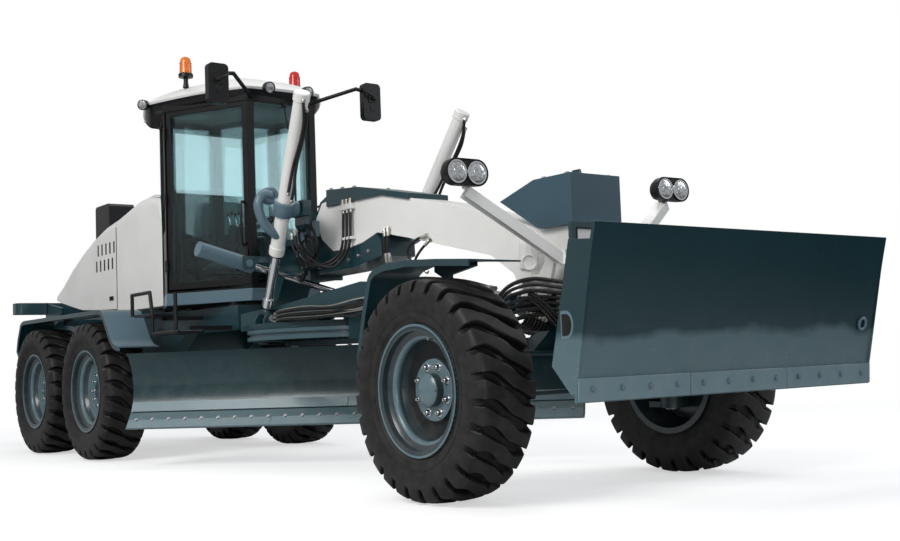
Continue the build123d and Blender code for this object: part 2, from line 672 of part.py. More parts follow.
def tyre_form():
    """Tyre ring about the Y axis, centred on the origin: bulging walls and a crowned tread."""
    outer = tyre_diameter / 2
    half = tyre_width / 2
    with BuildPart() as form:
        with BuildSketch(Plane.YZ):
            with BuildLine():
                Polyline((-bead_half, bead_radius + 22), (-bead_half, bead_radius),
                         (bead_half, bead_radius), (bead_half, bead_radius + 22))
                ThreePointArc((bead_half, bead_radius + 22), (half, bead_radius + 160),
                              (half_tread, outer - shoulder_drop))
                ThreePointArc((half_tread, outer - shoulder_drop), (0, outer),
                              (-half_tread, outer - shoulder_drop))
                ThreePointArc((-half_tread, outer - shoulder_drop), (-half, bead_radius + 160),
                              (-bead_half, bead_radius + 22))
            make_face()
        revolve(axis=Axis.Y)
    return form.part


def rim_form(disc_y, hub_rows):
    """Rim about the Y axis, outward face towards +Y: barrel, flanges, stepped gutter, deep disc and hub."""
    rim = rim_diameter / 2
    barrel = [(-188, rim + 18), (-188, rim - 22), (bead_half + 10, rim - 22),
              (bead_half + 16, rim + 6), (bead_half + 16, rim + 18), (bead_half + 2, rim + 18),
              (bead_half + 2, rim - 1), (-174, rim - 1), (-174, rim + 18)]
    dish = [(disc_y - 14, 0.1), (disc_y - 14, 225), (disc_y + 6, 300), (70, 322), (96, rim - 12),
            (bead_half - 20, rim - 12), (132, 338), (124, 318), (106, 306), (84, 306),
            (disc_y + 22, 286), (disc_y + 8, 262)]
    with BuildPart() as form:
        for shape in (barrel, dish + hub_rows):
            with BuildSketch(Plane.YZ):
                with BuildLine():
                    Polyline(*shape, close=True)
                make_face()
            revolve(axis=Axis.Y)
    return form.part


tyre_shape = tyre_form()
front_disc_y = 16
rear_disc_y = 30
# Front hub: bolting flange, stepped cap and eight wheel studs.
front_rim_shape = rim_form(front_disc_y, [(24, 178), (52, 178), (52, 102), (92, 96), (112, 62), (112, 0.1)])
with BuildPart() as front_rim:
    add(front_rim_shape)
    with BuildSketch(Plane.XZ.offset(-50)):
        with PolarLocations(145, 8, 22.5):
            RegularPolygon(17, 6)
    extrude(amount=-26)
# Rear hub: a shallow centre plate inside a ring of twelve nuts.
rear_rim_shape = rim_form(rear_disc_y, [(38, 120), (46, 116), (46, 0.1)])
with BuildPart() as rear_rim:
    add(rear_rim_shape)
    with BuildSketch(Plane.XZ.offset(-36)):
        with PolarLocations(170, 12):
            RegularPolygon(13, 6)
    extrude(amount=-20)
    with BuildSketch(Plane.XZ.offset(-(rear_disc_y - 20))):
        with PolarLocations(232, 6, 15):
            Circle(19)
    extrude(amount=-60, mode=Mode.SUBTRACT)
for end, wheel_x, rim_piece in (("front", front_axle_x, front_rim.part),
                                ("middle", rear_wheel_xs[0], rear_rim.part),
                                ("rear", rear_wheel_xs[1], rear_rim.part)):
    for name, side in sides:
        turn = 0 if side > 0 else 180
        place = Location((wheel_x, side * wheel_y, axle_z), (0, 0, turn))
        with BuildPart() as tyre:
            add(place * tyre_shape)
        save(tyre, f"tyre_{end}_{name}")
        with BuildPart() as rim:
            add(place * rim_piece)
        save(rim, f"rim_{end}_{name}")

# ---------------------------------------------------------------- drawbar and lift cylinders
ring_top = circle_z + 85
deck_low = ring_top + 13
deck_high = deck_low + 47
guide_radius = circle_radius + 6
eye_drop = 20
shift_eye = Vector(670, 430, 1360)
with BuildPart() as drawbar:
    # Two cranked box beams that meet at the nose.
    for side in (-1, 1):
        beam_plan = [(130, side * 575), (450, side * 545), (3200, side * 105), (3200, -side * 5), (2900, 0),
                     (450, side * 440), (130, side * 470)]
        extrude(plan_profile(beam_plan, deck_low), amount=400)
    beam_side = [(130, deck_low), (130, 1300), (700, 1340), (1700, 1470), (3200, 1262), (3200, 1130),
                 (1700, 1330), (1000, deck_low)]
    extrude(side_profile(beam_side), amount=700, both=True, mode=Mode.INTERSECT)
    # Yoke plate over the ring, open in the middle.
    deck = [(1490, 160), (1260, 400), (760, 640), (450, 640), (200, 590), (130, 480), (130, -480),
            (200, -590), (450, -640), (760, -640), (1260, -400), (1490, -160)]
    with BuildSketch(Plane.XY.offset(deck_low)):
        with BuildLine():
            Polyline(*deck, close=True)
        make_face()
        with BuildLine():
            Polyline((1260, 230), (760, 430), (430, 430), (430, -430), (760, -430), (1260, -230),
                     close=True)
        make_face(mode=Mode.SUBTRACT)
    extrude(amount=deck_high - deck_low)
    # Socket that wraps the ball on the boom's nose.
    with Locations(tuple(ball)):
        Sphere(108)
        Sphere(ball_radius + 0.5, mode=Mode.SUBTRACT)
    add(round_bar(tuple(ball), (ball.X + 150, 0, ball.Z), 52), mode=Mode.SUBTRACT)
    # Wear pads on the ring and hooked shoes that hold it up.
    for angle, head_z in ((22, 1340), (158, deck_high), (202, deck_high), (338, 1340)):
        for z0, z1, radius, wide in ((circle_z - 18, head_z, guide_radius + 22, 44),
                                     (circle_z - 18, circle_z - 4, guide_radius - 20, 90),
                                     (ring_top + 1, head_z, circle_radius - 40, 160)):
            with BuildSketch(Plane.XY.offset(z0)):
                with Locations((circle_x, 0)):
                    with PolarLocations(radius, 1, angle):
                        Rectangle(wide, 190)
            extrude(amount=z1 - z0)
    # Upright ears on either side of each lift cylinder's foot.
    for side in (-1, 1):
        for x0 in (500, 655):
            ear = [(side * 640, deck_low), (side * 640, 1230), (side * 605, 1280), (side * 525, 1280),
                   (side * 490, 1230), (side * 490, deck_low)]
            extrude(front_profile(ear, x0), amount=22)
            add(round_bar((x0 - 1, side * 565, 1232), (x0 + 23, side * 565, 1232), 20), mode=Mode.SUBTRACT)
    # Ball studs: two for the lift cylinders and one for the side-swing cylinder.
    for stud in (Vector(lift_eye.X, lift_eye.Y, lift_eye.Z),
                 Vector(lift_eye.X, -lift_eye.Y, lift_eye.Z), shift_eye):
        add(round_bar((stud.X, stud.Y, deck_low), (stud.X, stud.Y, stud.Z), 26))
        with Locations(tuple(stud)):
            Sphere(38)
    # Circle drive: gearbox and motor on the front cross member.
    add(round_bar((circle_x + 520, 0, circle_z + 5), (circle_x + 520, 0, deck_high + 60), 85))
save(drawbar, "drawbar")

lift_line = (lift_top - lift_eye).normalized()
barrel_end = lift_eye + lift_line * ((1750 - lift_eye.Z) / lift_line.Z)
lift_bore = 38.5
for name, side in sides:
    def flip(v):
        return (v.X, side * v.Y, v.Z)

    with BuildPart() as barrel:
        add(round_bar(flip(barrel_end), flip(lift_top), 70))
        add(round_bar(flip(barrel_end - lift_line * 5), flip(lift_top - lift_line * 60), lift_bore),
            mode=Mode.SUBTRACT)
        # Trunnion block and the pins that turn in the saddle arm.
        add(round_bar(flip(trunnion - lift_line * 70), flip(trunnion + lift_line * 70), 93))
        add(round_bar(flip(barrel_end - lift_line * 5), flip(lift_top - lift_line * 60), lift_bore),
            mode=Mode.SUBTRACT)
        add(round_bar(flip(trunnion - lift_pin_line * 120), flip(trunnion - lift_pin_line * 72), 37),
            mode=Mode.SUBTRACT)
    save(barrel, f"lift_barrel_{name}")
    with BuildPart() as rod:
        socket = lift_eye + lift_line * (38 + eye_drop)
        add(round_bar(flip(socket + lift_line * 60), flip(lift_top - lift_line * 420), 38))
        add(round_bar(flip(socket), flip(socket + lift_line * 80), 50))
    save(rod, f"lift_rod_{name}")

swing_line = (swing_trunnion - shift_eye).normalized()
with BuildPart() as swing_barrel:
    tail = swing_trunnion + swing_line * 430
    mouth = swing_trunnion - swing_line * 70
    add(round_bar(tuple(mouth), tuple(tail), 62))
    add(round_bar(tuple(swing_trunnion - swing_pin_line * 92),
                  tuple(swing_trunnion + swing_pin_line * 90), 30))
    add(round_bar(tuple(mouth - swing_line * 5), tuple(tail - swing_line * 40), 28.5), mode=Mode.SUBTRACT)
save(swing_barrel, "swing_barrel")
with BuildPart() as swing_rod:
    socket = shift_eye + swing_line * (38 + eye_drop)
    add(round_bar(tuple(socket + swing_line * 50), tuple(mouth + swing_line * 150), 28))
    add(round_bar(tuple(socket), tuple(socket + swing_line * 70), 46))
save(swing_rod, "swing_rod")

# ---------------------------------------------------------------- circle, blade carrier and moldboard
# These are drawn with the blade along local Y and its working face towards local X.
blade_place = Location((circle_x, 0, 0), (0, 0, blade_angle - 90))
ring_inner = 640
arm_y = 560
pivot_x, pivot_z = -230, 540
with BuildPart() as circle_local:
    with BuildSketch(Plane.XY.offset(circle_z)):
        Circle(circle_radius)
        Circle(ring_inner, mode=Mode.SUBTRACT)
    extrude(amount=ring_top - circle_z)
    # Groove round the rim of the ring between its two flanges.
    with BuildSketch(Plane.XY.offset(circle_z + 30)):
        Circle(circle_radius + 1)
        Circle(circle_radius - 22, mode=Mode.SUBTRACT)
    extrude(amount=26, mode=Mode.SUBTRACT)
    add(block(-400, -205, -600, 600, circle_z - 40, circle_z))
    for side in (-1, 1):
        arm = [(-400, circle_z), (-205, circle_z), (-200, 870), (-190, 690), (-172, 620), (-180, 480),
               (-280, 480), (-300, 620)]
        extrude(side_profile(arm, side * arm_y + 22), amount=44)
    for side in (-1, 1):
        add(round_bar((pivot_x, side * arm_y - 30, pivot_z), (pivot_x, side * arm_y + 30, pivot_z), 34.5),
            mode=Mode.SUBTRACT)
with BuildPart() as circle:
    add(blade_place * circle_local.part)
save(circle, "circle")

blade_face = 75
blade_sag = 130
blade_plate = 22
blade_top_z = blade_low_z + blade_height
with BuildPart() as carrier_local:
    for side in (-1, 1):
        y_mid = side * (arm_y - 60)
        cheek = [(-155, 400), (-155, 870), (-200, 870), (-290, 600), (-290, 480), (-230, 430)]
        extrude(side_profile(cheek, y_mid + 28), amount=56)
        add(round_bar((pivot_x, y_mid, pivot_z), (pivot_x, side * (arm_y + 45), pivot_z), 34))
    add(round_bar((pivot_x, -arm_y + 60, pivot_z), (pivot_x, arm_y - 60, pivot_z), 50))
    # Side-shift cylinder barrel lies along the carrier.
    add(round_bar((-215, -430, 700), (-215, 430, 700), 45))
    for side in (-1, 1):
        add(block(-230, -155, side * 400 - 30, side * 400 + 30, 540, 700))
with BuildPart() as blade_carrier:
    add(blade_place * carrier_local.part)
save(blade_carrier, "blade_carrier")

mid_z = (blade_low_z + blade_top_z) / 2
with BuildPart() as moldboard_local:
    with BuildSketch(Plane.XZ.offset(-blade_length / 2)):
        with BuildLine():
            ThreePointArc((blade_face, blade_low_z + 40), (blade_face - blade_sag, mid_z),
                          (blade_face, blade_top_z))
            Line((blade_face, blade_top_z), (blade_face - blade_plate, blade_top_z))
            ThreePointArc((blade_face - blade_plate, blade_top_z),
                          (blade_face - blade_sag - blade_plate, mid_z),
                          (blade_face - blade_plate, blade_low_z + 40))
            Line((blade_face - blade_plate, blade_low_z + 40), (blade_face, blade_low_z + 40))
        make_face()
    extrude(amount=blade_length)
    # Cutting edge and end bits bolted along the foot.
    lip = [(75, 375), (106, 338), (86, blade_low_z), (53, 375), (53, 380), (72, 380)]
    strip = [(100, 345), (106, 338), (118, 345), (20, 476), (4, 466)]
    for shape in (lip, strip):
        extrude(side_profile(shape, blade_length / 2), amount=blade_length)
    # Slide rails on the back.
    for z_mid, x_front in ((480, -24), (800, -50)):
        add(block(-150, x_front, -1150, 1150, z_mid - 22, z_mid + 22))
with BuildPart() as moldboard:
    add(blade_place * Location((0, blade_shift, 0)) * moldboard_local.part)
save(moldboard, "moldboard")

# ---------------------------------------------------------------- front dozer
tower_half = 330
nose_x = 4050
link_low = (4200, 800)
link_high = (4200, 1100)
link_length = 600
link_angle = 28
link_dx = link_length * cos(radians(link_angle))
link_dz = link_length * sin(radians(link_angle))
dozer_half = 1240
with BuildPart() as dozer_mount:
    with BuildSketch(Plane.YZ.offset(nose_x)):
        with Locations((0, 1190)):
            Rectangle(2 * tower_half, 940)
        with Locations((0, 1580)):
            Rectangle(2 * tower_half - 80, 90, mode=Mode.SUBTRACT)
    extrude(amount=30)
    for side in (-1, 1):
        ear = [(nose_x, 730), (nose_x, 1180), (4180, 1160), (4240, 1100), (4240, 770), (4200, 730)]
        extrude(side_profile(ear, side * 225 + 15), amount=30)
        for x, z in (link_low, link_high):
            add(round_bar((x, side * 225 - 15, z), (x, side * 225 + side * 60, z), 25))
    for side in (-1, 1):
        top_ear = [(nose_x, 1430), (nose_x, 1530), (4190, 1520), (4220, 1490), (4190, 1450)]
        extrude(side_profile(top_ear, side * 65 + 10), amount=20)
    add(round_bar((4180, -75, 1490), (4180, 75, 1490), 20))
save(dozer_mount, "dozer_mount")

with BuildPart() as dozer_arms:
    for side in (-1, 1):
        link = Plane(origin=(link_low[0], side * 265 + 20, link_low[1]), x_dir=(link_dx, 0, link_dz),
                     z_dir=(0, -1, 0))
        with BuildSketch(link):
            with Locations((link_length / 2, 0)):
                SlotCenterToCenter(link_length, 100)
            Circle(25.5, mode=Mode.SUBTRACT)
            with Locations((link_length, 0)):
                Circle(25.5, mode=Mode.SUBTRACT)
        extrude(amount=40)
    cross = (link_low[0] + 0.6 * link_dx, link_low[1] + 0.6 * link_dz)
    add(round_bar((cross[0], -250, cross[1]), (cross[0], 250, cross[1]), 36))
save(dozer_arms, "dozer_arms")

with BuildPart() as dozer_links:
    for side in (-1, 1):
        link = Plane(origin=(link_high[0], side * 265 + 20, link_high[1]), x_dir=(link_dx, 0, link_dz),
                     z_dir=(0, -1, 0))
        with BuildSketch(link):
            with Locations((link_length / 2, 0)):
                SlotCenterToCenter(link_length, 80)
            Circle(25.5, mode=Mode.SUBTRACT)
            with Locations((link_length, 0)):
                Circle(36, mode=Mode.SUBTRACT)
        extrude(amount=40)
save(dozer_links, "dozer_links")

with BuildPart() as dozer_blade:
    front = [(5030, 600), (5040, 760), (5110, 1060), (5178, 1345), (5215, 1490), (5195, 1494), (5156, 1352),
             (5088, 1064), (5016, 766), (5012, 600)]
    extrude(side_profile(front), amount=dozer_half, both=True)
    cheek = [(5190, 1408), (5016, 1421), (4855, 787), (4990, 640), (5030, 660)]
    for side in (-1, 1):
        y_high = max(side * dozer_half, side * (dozer_half - 16))
        extrude(side_profile(cheek, y_high), amount=16)
    # Back frame: a box beam across and the lugs for both pairs of links.
    add(block(4880, 5092, -900, 900, 1010, 1130))
    add(block(4900, 5160, -600, 600, 1355, 1400))
    for side in (-1, 1):
        lug = [(4690, 1040), (4690, 1420), (4760, 1430), (5100, 1420), (5060, 1000), (4740, 1000)]
        extrude(side_profile(lug, side * 225 + 15), amount=30)
        for x, z in (link_low, link_high):
            radius = 25 if z == link_low[1] else 20
            add(round_bar((x + link_dx, side * 225, z + link_dz),
                          (x + link_dx, side * 225 + side * 60, z + link_dz), radius))
save(dozer_blade, "dozer_blade")

dozer_top = Vector(4180, 0, 1490)
dozer_eye = Vector(cross[0], 0, cross[1])
dozer_line = (dozer_eye - dozer_top).normalized()
with BuildPart() as dozer_barrel:
    add(round_bar(tuple(dozer_top), tuple(dozer_top + dozer_line * 440), 45))
    with BuildSketch(Plane.XZ.offset(-35)):
        with Locations((dozer_top.X, dozer_top.Z)):
            Circle(45)
    extrude(amount=70)
    add(round_bar(tuple(dozer_top + dozer_line * 80), tuple(dozer_top + dozer_line * 445), 25.5),
        mode=Mode.SUBTRACT)
    add(round_bar((dozer_top.X, -50, dozer_top.Z), (dozer_top.X, 50, dozer_top.Z), 20.5),
        mode=Mode.SUBTRACT)
save(dozer_barrel, "dozer_barrel")
with BuildPart() as dozer_rod:
    add(round_bar(tuple(dozer_top + dozer_line * 90), tuple(dozer_eye - dozer_line * 70), 25))
    with BuildSketch(Plane.XZ.offset(-30)):
        with Locations((dozer_eye.X, dozer_eye.Z)):
            Circle(82)
            Circle(58, mode=Mode.SUBTRACT)
    extrude(amount=60)
save(dozer_rod, "dozer_rod")
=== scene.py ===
"""Motor grader with a front dozer blade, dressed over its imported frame.  Metres; X forward, Y left, Z up."""
import json
from math import cos, pi, radians, sin

import bmesh
import bpy
import numpy as np
from mathutils import Matrix, Vector

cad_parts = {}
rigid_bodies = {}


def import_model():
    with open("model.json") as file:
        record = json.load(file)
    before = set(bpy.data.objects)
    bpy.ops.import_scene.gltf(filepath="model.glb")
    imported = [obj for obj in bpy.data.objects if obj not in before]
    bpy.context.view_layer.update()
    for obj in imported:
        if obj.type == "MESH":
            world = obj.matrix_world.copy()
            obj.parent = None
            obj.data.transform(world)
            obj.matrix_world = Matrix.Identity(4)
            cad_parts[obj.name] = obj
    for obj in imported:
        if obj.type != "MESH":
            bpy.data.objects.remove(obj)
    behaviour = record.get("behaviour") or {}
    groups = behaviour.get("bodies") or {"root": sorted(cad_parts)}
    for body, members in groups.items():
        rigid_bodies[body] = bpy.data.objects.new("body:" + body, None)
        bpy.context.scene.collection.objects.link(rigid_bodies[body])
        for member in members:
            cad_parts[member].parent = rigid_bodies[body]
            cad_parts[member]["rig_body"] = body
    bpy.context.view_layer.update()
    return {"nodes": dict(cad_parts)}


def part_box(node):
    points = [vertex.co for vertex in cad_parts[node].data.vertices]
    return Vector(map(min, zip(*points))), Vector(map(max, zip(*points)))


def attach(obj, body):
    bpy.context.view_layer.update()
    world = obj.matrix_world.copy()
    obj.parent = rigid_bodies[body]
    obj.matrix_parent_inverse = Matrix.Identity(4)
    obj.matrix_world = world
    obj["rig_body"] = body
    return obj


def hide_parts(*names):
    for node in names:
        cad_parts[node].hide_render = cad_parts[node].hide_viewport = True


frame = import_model()
nodes = frame["nodes"]
scene = bpy.context.scene

# ---------------------------------------------------------------- studio
# A pale floor that runs out into a white room, four soft panels round and above, and a camera at hub height
# off the right front corner, looking back along the machine.
scene.view_settings.view_transform = "Standard"
world = bpy.data.worlds.new("studio_world")
scene.world = world
world.use_nodes = True
n, l = world.node_tree.nodes, world.node_tree.links
n.clear()
w_out, w_mix = n.new("ShaderNodeOutputWorld"), n.new("ShaderNodeMixShader")
w_light, w_white = n.new("ShaderNodeBackground"), n.new("ShaderNodeBackground")
w_path = n.new("ShaderNodeLightPath")
w_seen, w_mirrored, w_level = (n.new("ShaderNodeMath") for _ in range(3))
w_seen.operation = w_mirrored.operation = w_level.operation = "MAXIMUM"
w_level.inputs[1].default_value = 0.45
l.new(w_path.outputs["Is Camera Ray"], w_seen.inputs[0])
l.new(w_path.outputs["Is Transmission Ray"], w_seen.inputs[1])
l.new(w_seen.outputs[0], w_mirrored.inputs[0])
l.new(w_path.outputs["Is Glossy Ray"], w_mirrored.inputs[1])
w_light.inputs["Color"].default_value = (0.86, 0.92, 1.0, 1)
w_light.inputs["Strength"].default_value = 0.34
w_white.inputs["Color"].default_value = (1, 1, 1, 1)
l.new(w_seen.outputs[0], w_level.inputs[0])
l.new(w_level.outputs[0], w_white.inputs["Strength"])
l.new(w_mirrored.outputs[0], w_mix.inputs[0])
l.new(w_light.outputs[0], w_mix.inputs[1])
l.new(w_white.outputs[0], w_mix.inputs[2])
l.new(w_mix.outputs[0], w_out.inputs["Surface"])

floor_mat = bpy.data.materials.new("pale_floor")
floor_mat.use_nodes = True
n, l = floor_mat.node_tree.nodes, floor_mat.node_tree.links
n.clear()
f_out, f_near = n.new("ShaderNodeOutputMaterial"), n.new("ShaderNodeAddShader")
f_mix = n.new("ShaderNodeMixShader")
f_lit = n.new("ShaderNodeBsdfDiffuse")
f_glow, f_white = n.new("ShaderNodeEmission"), n.new("ShaderNodeEmission")
f_path, f_coord = n.new("ShaderNodeLightPath"), n.new("ShaderNodeTexCoord")
f_far = n.new("ShaderNodeMapRange")
f_length, f_share, f_own = n.new("ShaderNodeVectorMath"), n.new("ShaderNodeMath"), n.new("ShaderNodeMath")
f_lit.inputs["Color"].default_value = (0.62, 0.62, 0.62, 1)
f_length.operation, f_share.operation, f_own.operation = "LENGTH", "MAXIMUM", "MULTIPLY"
l.new(f_coord.outputs["Object"], f_length.inputs[0])
l.new(f_length.outputs["Value"], f_far.inputs["Value"])
f_far.interpolation_type = "SMOOTHSTEP"
f_far.inputs["From Min"].default_value, f_far.inputs["From Max"].default_value = 5.5, 11.0
l.new(f_path.outputs["Is Camera Ray"], f_share.inputs[0])
l.new(f_path.outputs["Is Transmission Ray"], f_share.inputs[1])
f_own.inputs[1].default_value = 0.55
l.new(f_share.outputs[0], f_own.inputs[0])
l.new(f_own.outputs[0], f_glow.inputs["Strength"])
l.new(f_lit.outputs[0], f_near.inputs[0])
l.new(f_glow.outputs[0], f_near.inputs[1])
l.new(f_share.outputs[0], f_white.inputs["Strength"])
l.new(f_far.outputs[0], f_mix.inputs[0])
l.new(f_near.outputs[0], f_mix.inputs[1])
l.new(f_white.outputs[0], f_mix.inputs[2])
l.new(f_mix.outputs[0], f_out.inputs["Surface"])
floor_mesh = bpy.data.meshes.new("floor")
floor_mesh.from_pydata([(-60, -60, -0.001), (60, -60, -0.001), (60, 60, -0.001), (-60, 60, -0.001)], [],
                       [(0, 1, 2, 3)])
floor = bpy.data.objects.new("floor", floor_mesh)
floor.data.materials.append(floor_mat)
scene.collection.objects.link(floor)


def lamp(name, place, target, size, power, colour=(1, 1, 1)):
    """Square soft panel at place, turned so that its -Z looks at target."""
    data = bpy.data.lights.new(name, "AREA")
    data.shape, data.size, data.energy, data.color = "SQUARE", size, power, colour
    panel = bpy.data.objects.new(name, data)
    panel.location = place
    panel.rotation_euler = (Vector(target) - Vector(place)).to_track_quat("-Z", "Y").to_euler()
    scene.collection.objects.link(panel)


lamp("key_panel", (4.0, -11.0, 9.0), (0.0, 0.0, 1.4), 6.0, 1050, (1.0, 0.98, 0.95))
lamp("top_panel", (-1.0, 2.0, 12.0), (-0.5, 0.0, 1.0), 9.0, 430)
lamp("left_panel", (8.0, 10.0, 7.0), (1.0, 0.0, 1.2), 6.0, 300, (0.93, 0.97, 1.0))
lamp("nose_panel", (13.0, -5.0, 3.0), (4.0, 0.0, 1.2), 5.0, 240)

camera_data = bpy.data.cameras.new("camera")
camera = bpy.data.objects.new("camera", camera_data)
scene.collection.objects.link(camera)
scene.camera = camera
yaw, pitch, roll = radians(36.881), radians(3.957), radians(-2.126)
ahead = Vector((-cos(yaw) * cos(pitch), sin(yaw) * cos(pitch), sin(pitch)))
level_right = ahead.cross(Vector((0, 0, 1))).normalized()
level_up = level_right.cross(ahead)
cam_right = level_right * cos(roll) + level_up * sin(roll)
cam_up = -level_right * sin(roll) + level_up * cos(roll)
camera.matrix_world = Matrix.Translation((9.287, -5.235, 0.843)) @ Matrix(
    (cam_right, cam_up, -ahead)).transposed().to_4x4()
camera_data.sensor_width = 36
camera_data.lens = 46.635
camera_data.shift_x = 0.00771
camera_data.shift_y = 0.00924
camera_data.clip_end = 200


# ---------------------------------------------------------------- chassis
# The two box rails, the tandem cases and their axle are welded from steel plate, shot-blasted and sprayed
# with two-pack machine paint in dark blue-green.  Dust settles low down and in patches, and edges rub pale.
def painted(name, colour, rough=0.38, dust=0.3, grain=240, coat=0.15, metal=0.0, wear=0.4, shine=0.5,
            reflection_below=None):
    """Paint: colour times a slow cloud of noise, then tan dust where noise times low height is high, then
    a paler tone where the surface is sharply convex; roughness rises with the dust, and a fine
    orange-peel bump lies over all.  Below the height given last, wavering with slow noise, the colour
    turns pale blue-grey: a painted reflection of the ground on the lower face."""
    mat = bpy.data.materials.new(name)
    mat.use_nodes = True
    n, l = mat.node_tree.nodes, mat.node_tree.links
    shader = n["Principled BSDF"]
    coord = n.new("ShaderNodeTexCoord")
    cloud = n.new("ShaderNodeTexNoise")
    cloud.inputs["Scale"].default_value = 2.3
    cloud.inputs["Detail"].default_value = 6
    l.new(coord.outputs["Object"], cloud.inputs["Vector"])
    shade = n.new("ShaderNodeMapRange")
    shade.inputs["To Min"].default_value = 0.86
    shade.inputs["To Max"].default_value = 1.12
    l.new(cloud.outputs["Fac"], shade.inputs["Value"])
    tint = n.new("ShaderNodeMix")
    tint.data_type, tint.blend_type = "RGBA", "MULTIPLY"
    tint.inputs["Factor"].default_value = 1.0
    tint.inputs["A"].default_value = (*colour, 1)
    l.new(shade.outputs[0], tint.inputs["B"])
    split = n.new("ShaderNodeSeparateXYZ")
    l.new(coord.outputs["Object"], split.inputs[0])
    # Painted reflection: below the given height the colour turns pale blue-grey, as if the lower face mirrored
    # the pale ground.
    if reflection_below is not None:
        waver, line, painted_reflection = n.new("ShaderNodeMath"), n.new("ShaderNodeMapRange"), n.new("ShaderNodeMix")
        waver.operation = "MULTIPLY_ADD"
        waver.inputs[1].default_value = 0.22
        l.new(cloud.outputs["Fac"], waver.inputs[0])
        l.new(split.outputs["Z"], waver.inputs[2])
        line.inputs["From Min"].default_value = reflection_below + 0.140
        line.inputs["From Max"].default_value = reflection_below + 0.085
        l.new(waver.outputs[0], line.inputs["Value"])
        painted_reflection.data_type = "RGBA"
        painted_reflection.inputs["A"].default_value = (*colour, 1)
        painted_reflection.inputs["B"].default_value = (0.085, 0.150, 0.170, 1)
        l.new(line.outputs[0], painted_reflection.inputs["Factor"])
        l.new(painted_reflection.outputs["Result"], tint.inputs["A"])
    low = n.new("ShaderNodeMapRange")
    low.inputs["From Min"].default_value = 1.1
    low.inputs["From Max"].default_value = 0.0
    low.inputs["To Min"].default_value = 0.04
    l.new(split.outputs["Z"], low.inputs["Value"])
    patch = n.new("ShaderNodeTexNoise")
    patch.inputs["Scale"].default_value = 9.0
    patch.inputs["Detail"].default_value = 8
    patch.inputs["Roughness"].default_value = 0.65
    l.new(coord.outputs["Object"], patch.inputs["Vector"])
    spot = n.new("ShaderNodeMapRange")
    spot.inputs["From Min"].default_value = 0.38
    spot.inputs["From Max"].default_value = 0.72
    l.new(patch.outputs["Fac"], spot.inputs["Value"])
    amount = n.new("ShaderNodeMath")
    amount.operation = "MULTIPLY"
    l.new(low.outputs[0], amount.inputs[0])
    l.new(spot.outputs[0], amount.inputs[1])
    share = n.new("ShaderNodeMath")
    share.operation = "MULTIPLY"
    share.inputs[1].default_value = dust
    l.new(amount.outputs[0], share.inputs[0])
    dusty = n.new("ShaderNodeMix")
    dusty.data_type = "RGBA"
    dusty.inputs["B"].default_value = (0.42, 0.38, 0.32, 1)
    l.new(share.outputs[0], dusty.inputs["Factor"])
    l.new(tint.outputs["Result"], dusty.inputs["A"])
    geometry = n.new("ShaderNodeNewGeometry")
    edge = n.new("ShaderNodeMapRange")
    edge.inputs["From Min"].default_value = 0.56
    edge.inputs["From Max"].default_value = 0.70
    edge.inputs["To Max"].default_value = wear
    l.new(geometry.outputs["Pointiness"], edge.inputs["Value"])
    rubbed = n.new("ShaderNodeMath")
    rubbed.operation = "MULTIPLY"
    l.new(edge.outputs[0], rubbed.inputs[0])
    l.new(spot.outputs[0], rubbed.inputs[1])
    worn = n.new("ShaderNodeMix")
    worn.data_type = "RGBA"
    worn.inputs["B"].default_value = (*(min(1, 0.6 * c + 0.22) for c in colour), 1)
    l.new(rubbed.outputs[0], worn.inputs["Factor"])
    l.new(dusty.outputs["Result"], worn.inputs["A"])
    l.new(worn.outputs["Result"], shader.inputs["Base Color"])
    matt = n.new("ShaderNodeMapRange")
    matt.inputs["To Min"].default_value = rough
    matt.inputs["To Max"].default_value = min(rough + 0.45, 0.95)
    l.new(share.outputs[0], matt.inputs["Value"])
    l.new(matt.outputs[0], shader.inputs["Roughness"])
    peel = n.new("ShaderNodeTexNoise")
    peel.inputs["Scale"].default_value = grain
    l.new(coord.outputs["Object"], peel.inputs["Vector"])
    bump = n.new("ShaderNodeBump")
    bump.inputs["Strength"].default_value = 0.05
    bump.inputs["Distance"].default_value = 0.002
    l.new(peel.outputs["Fac"], bump.inputs["Height"])
    l.new(bump.outputs[0], shader.inputs["Normal"])
    shader.inputs["Metallic"].default_value = metal
    shader.inputs["Specular IOR Level"].default_value = shine
    shader.inputs["Coat Weight"].default_value = coat
    shader.inputs["Coat Roughness"].default_value = 0.12
    return mat


teal = painted("teal_paint", (0.009, 0.043, 0.054), rough=0.30, dust=0.2)
pale_teal = painted("pale_teal_paint", (0.100, 0.170, 0.215), rough=0.36, dust=0.35)


def dressed(node, mat, width=0.004, segments=2):
    """Copy of a CAD node with its doubles merged, flat regions dissolved and its sharp edges rolled
    over by a bevel, as on real plate; it stands for the node."""
    source = nodes[node]
    mesh = source.data.copy()
    bm = bmesh.new()
    bm.from_mesh(mesh)
    bmesh.ops.remove_doubles(bm, verts=bm.verts, dist=0.00002)
    bmesh.ops.dissolve_limit(bm, angle_limit=radians(0.6), verts=bm.verts, edges=bm.edges)
    bm.to_mesh(mesh)
    bm.free()
    mesh.name = node + "_skin"
    mesh.materials.clear()
    mesh.materials.append(mat)
    piece = bpy.data.objects.new(node + "_skin", mesh)
    scene.collection.objects.link(piece)
    mesh.shade_smooth()
    if width:
        bevel = piece.modifiers.new("rolled_edges", "BEVEL")
        bevel.width, bevel.segments = width, segments
        bevel.limit_method, bevel.angle_limit = "ANGLE", radians(28)
        bevel.use_clamp_overlap = True
        bevel.harden_normals = True
    edge = piece.modifiers.new("flat_faces", "WEIGHTED_NORMAL")
    edge.keep_sharp = True
    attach(piece, source["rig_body"])
    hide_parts(node)
    return piece


def unit(vector):
    """The vector or rows of vectors at length one."""
    vector = np.asarray(vector, float)
    return vector / np.linalg.norm(vector, axis=-1, keepdims=True)


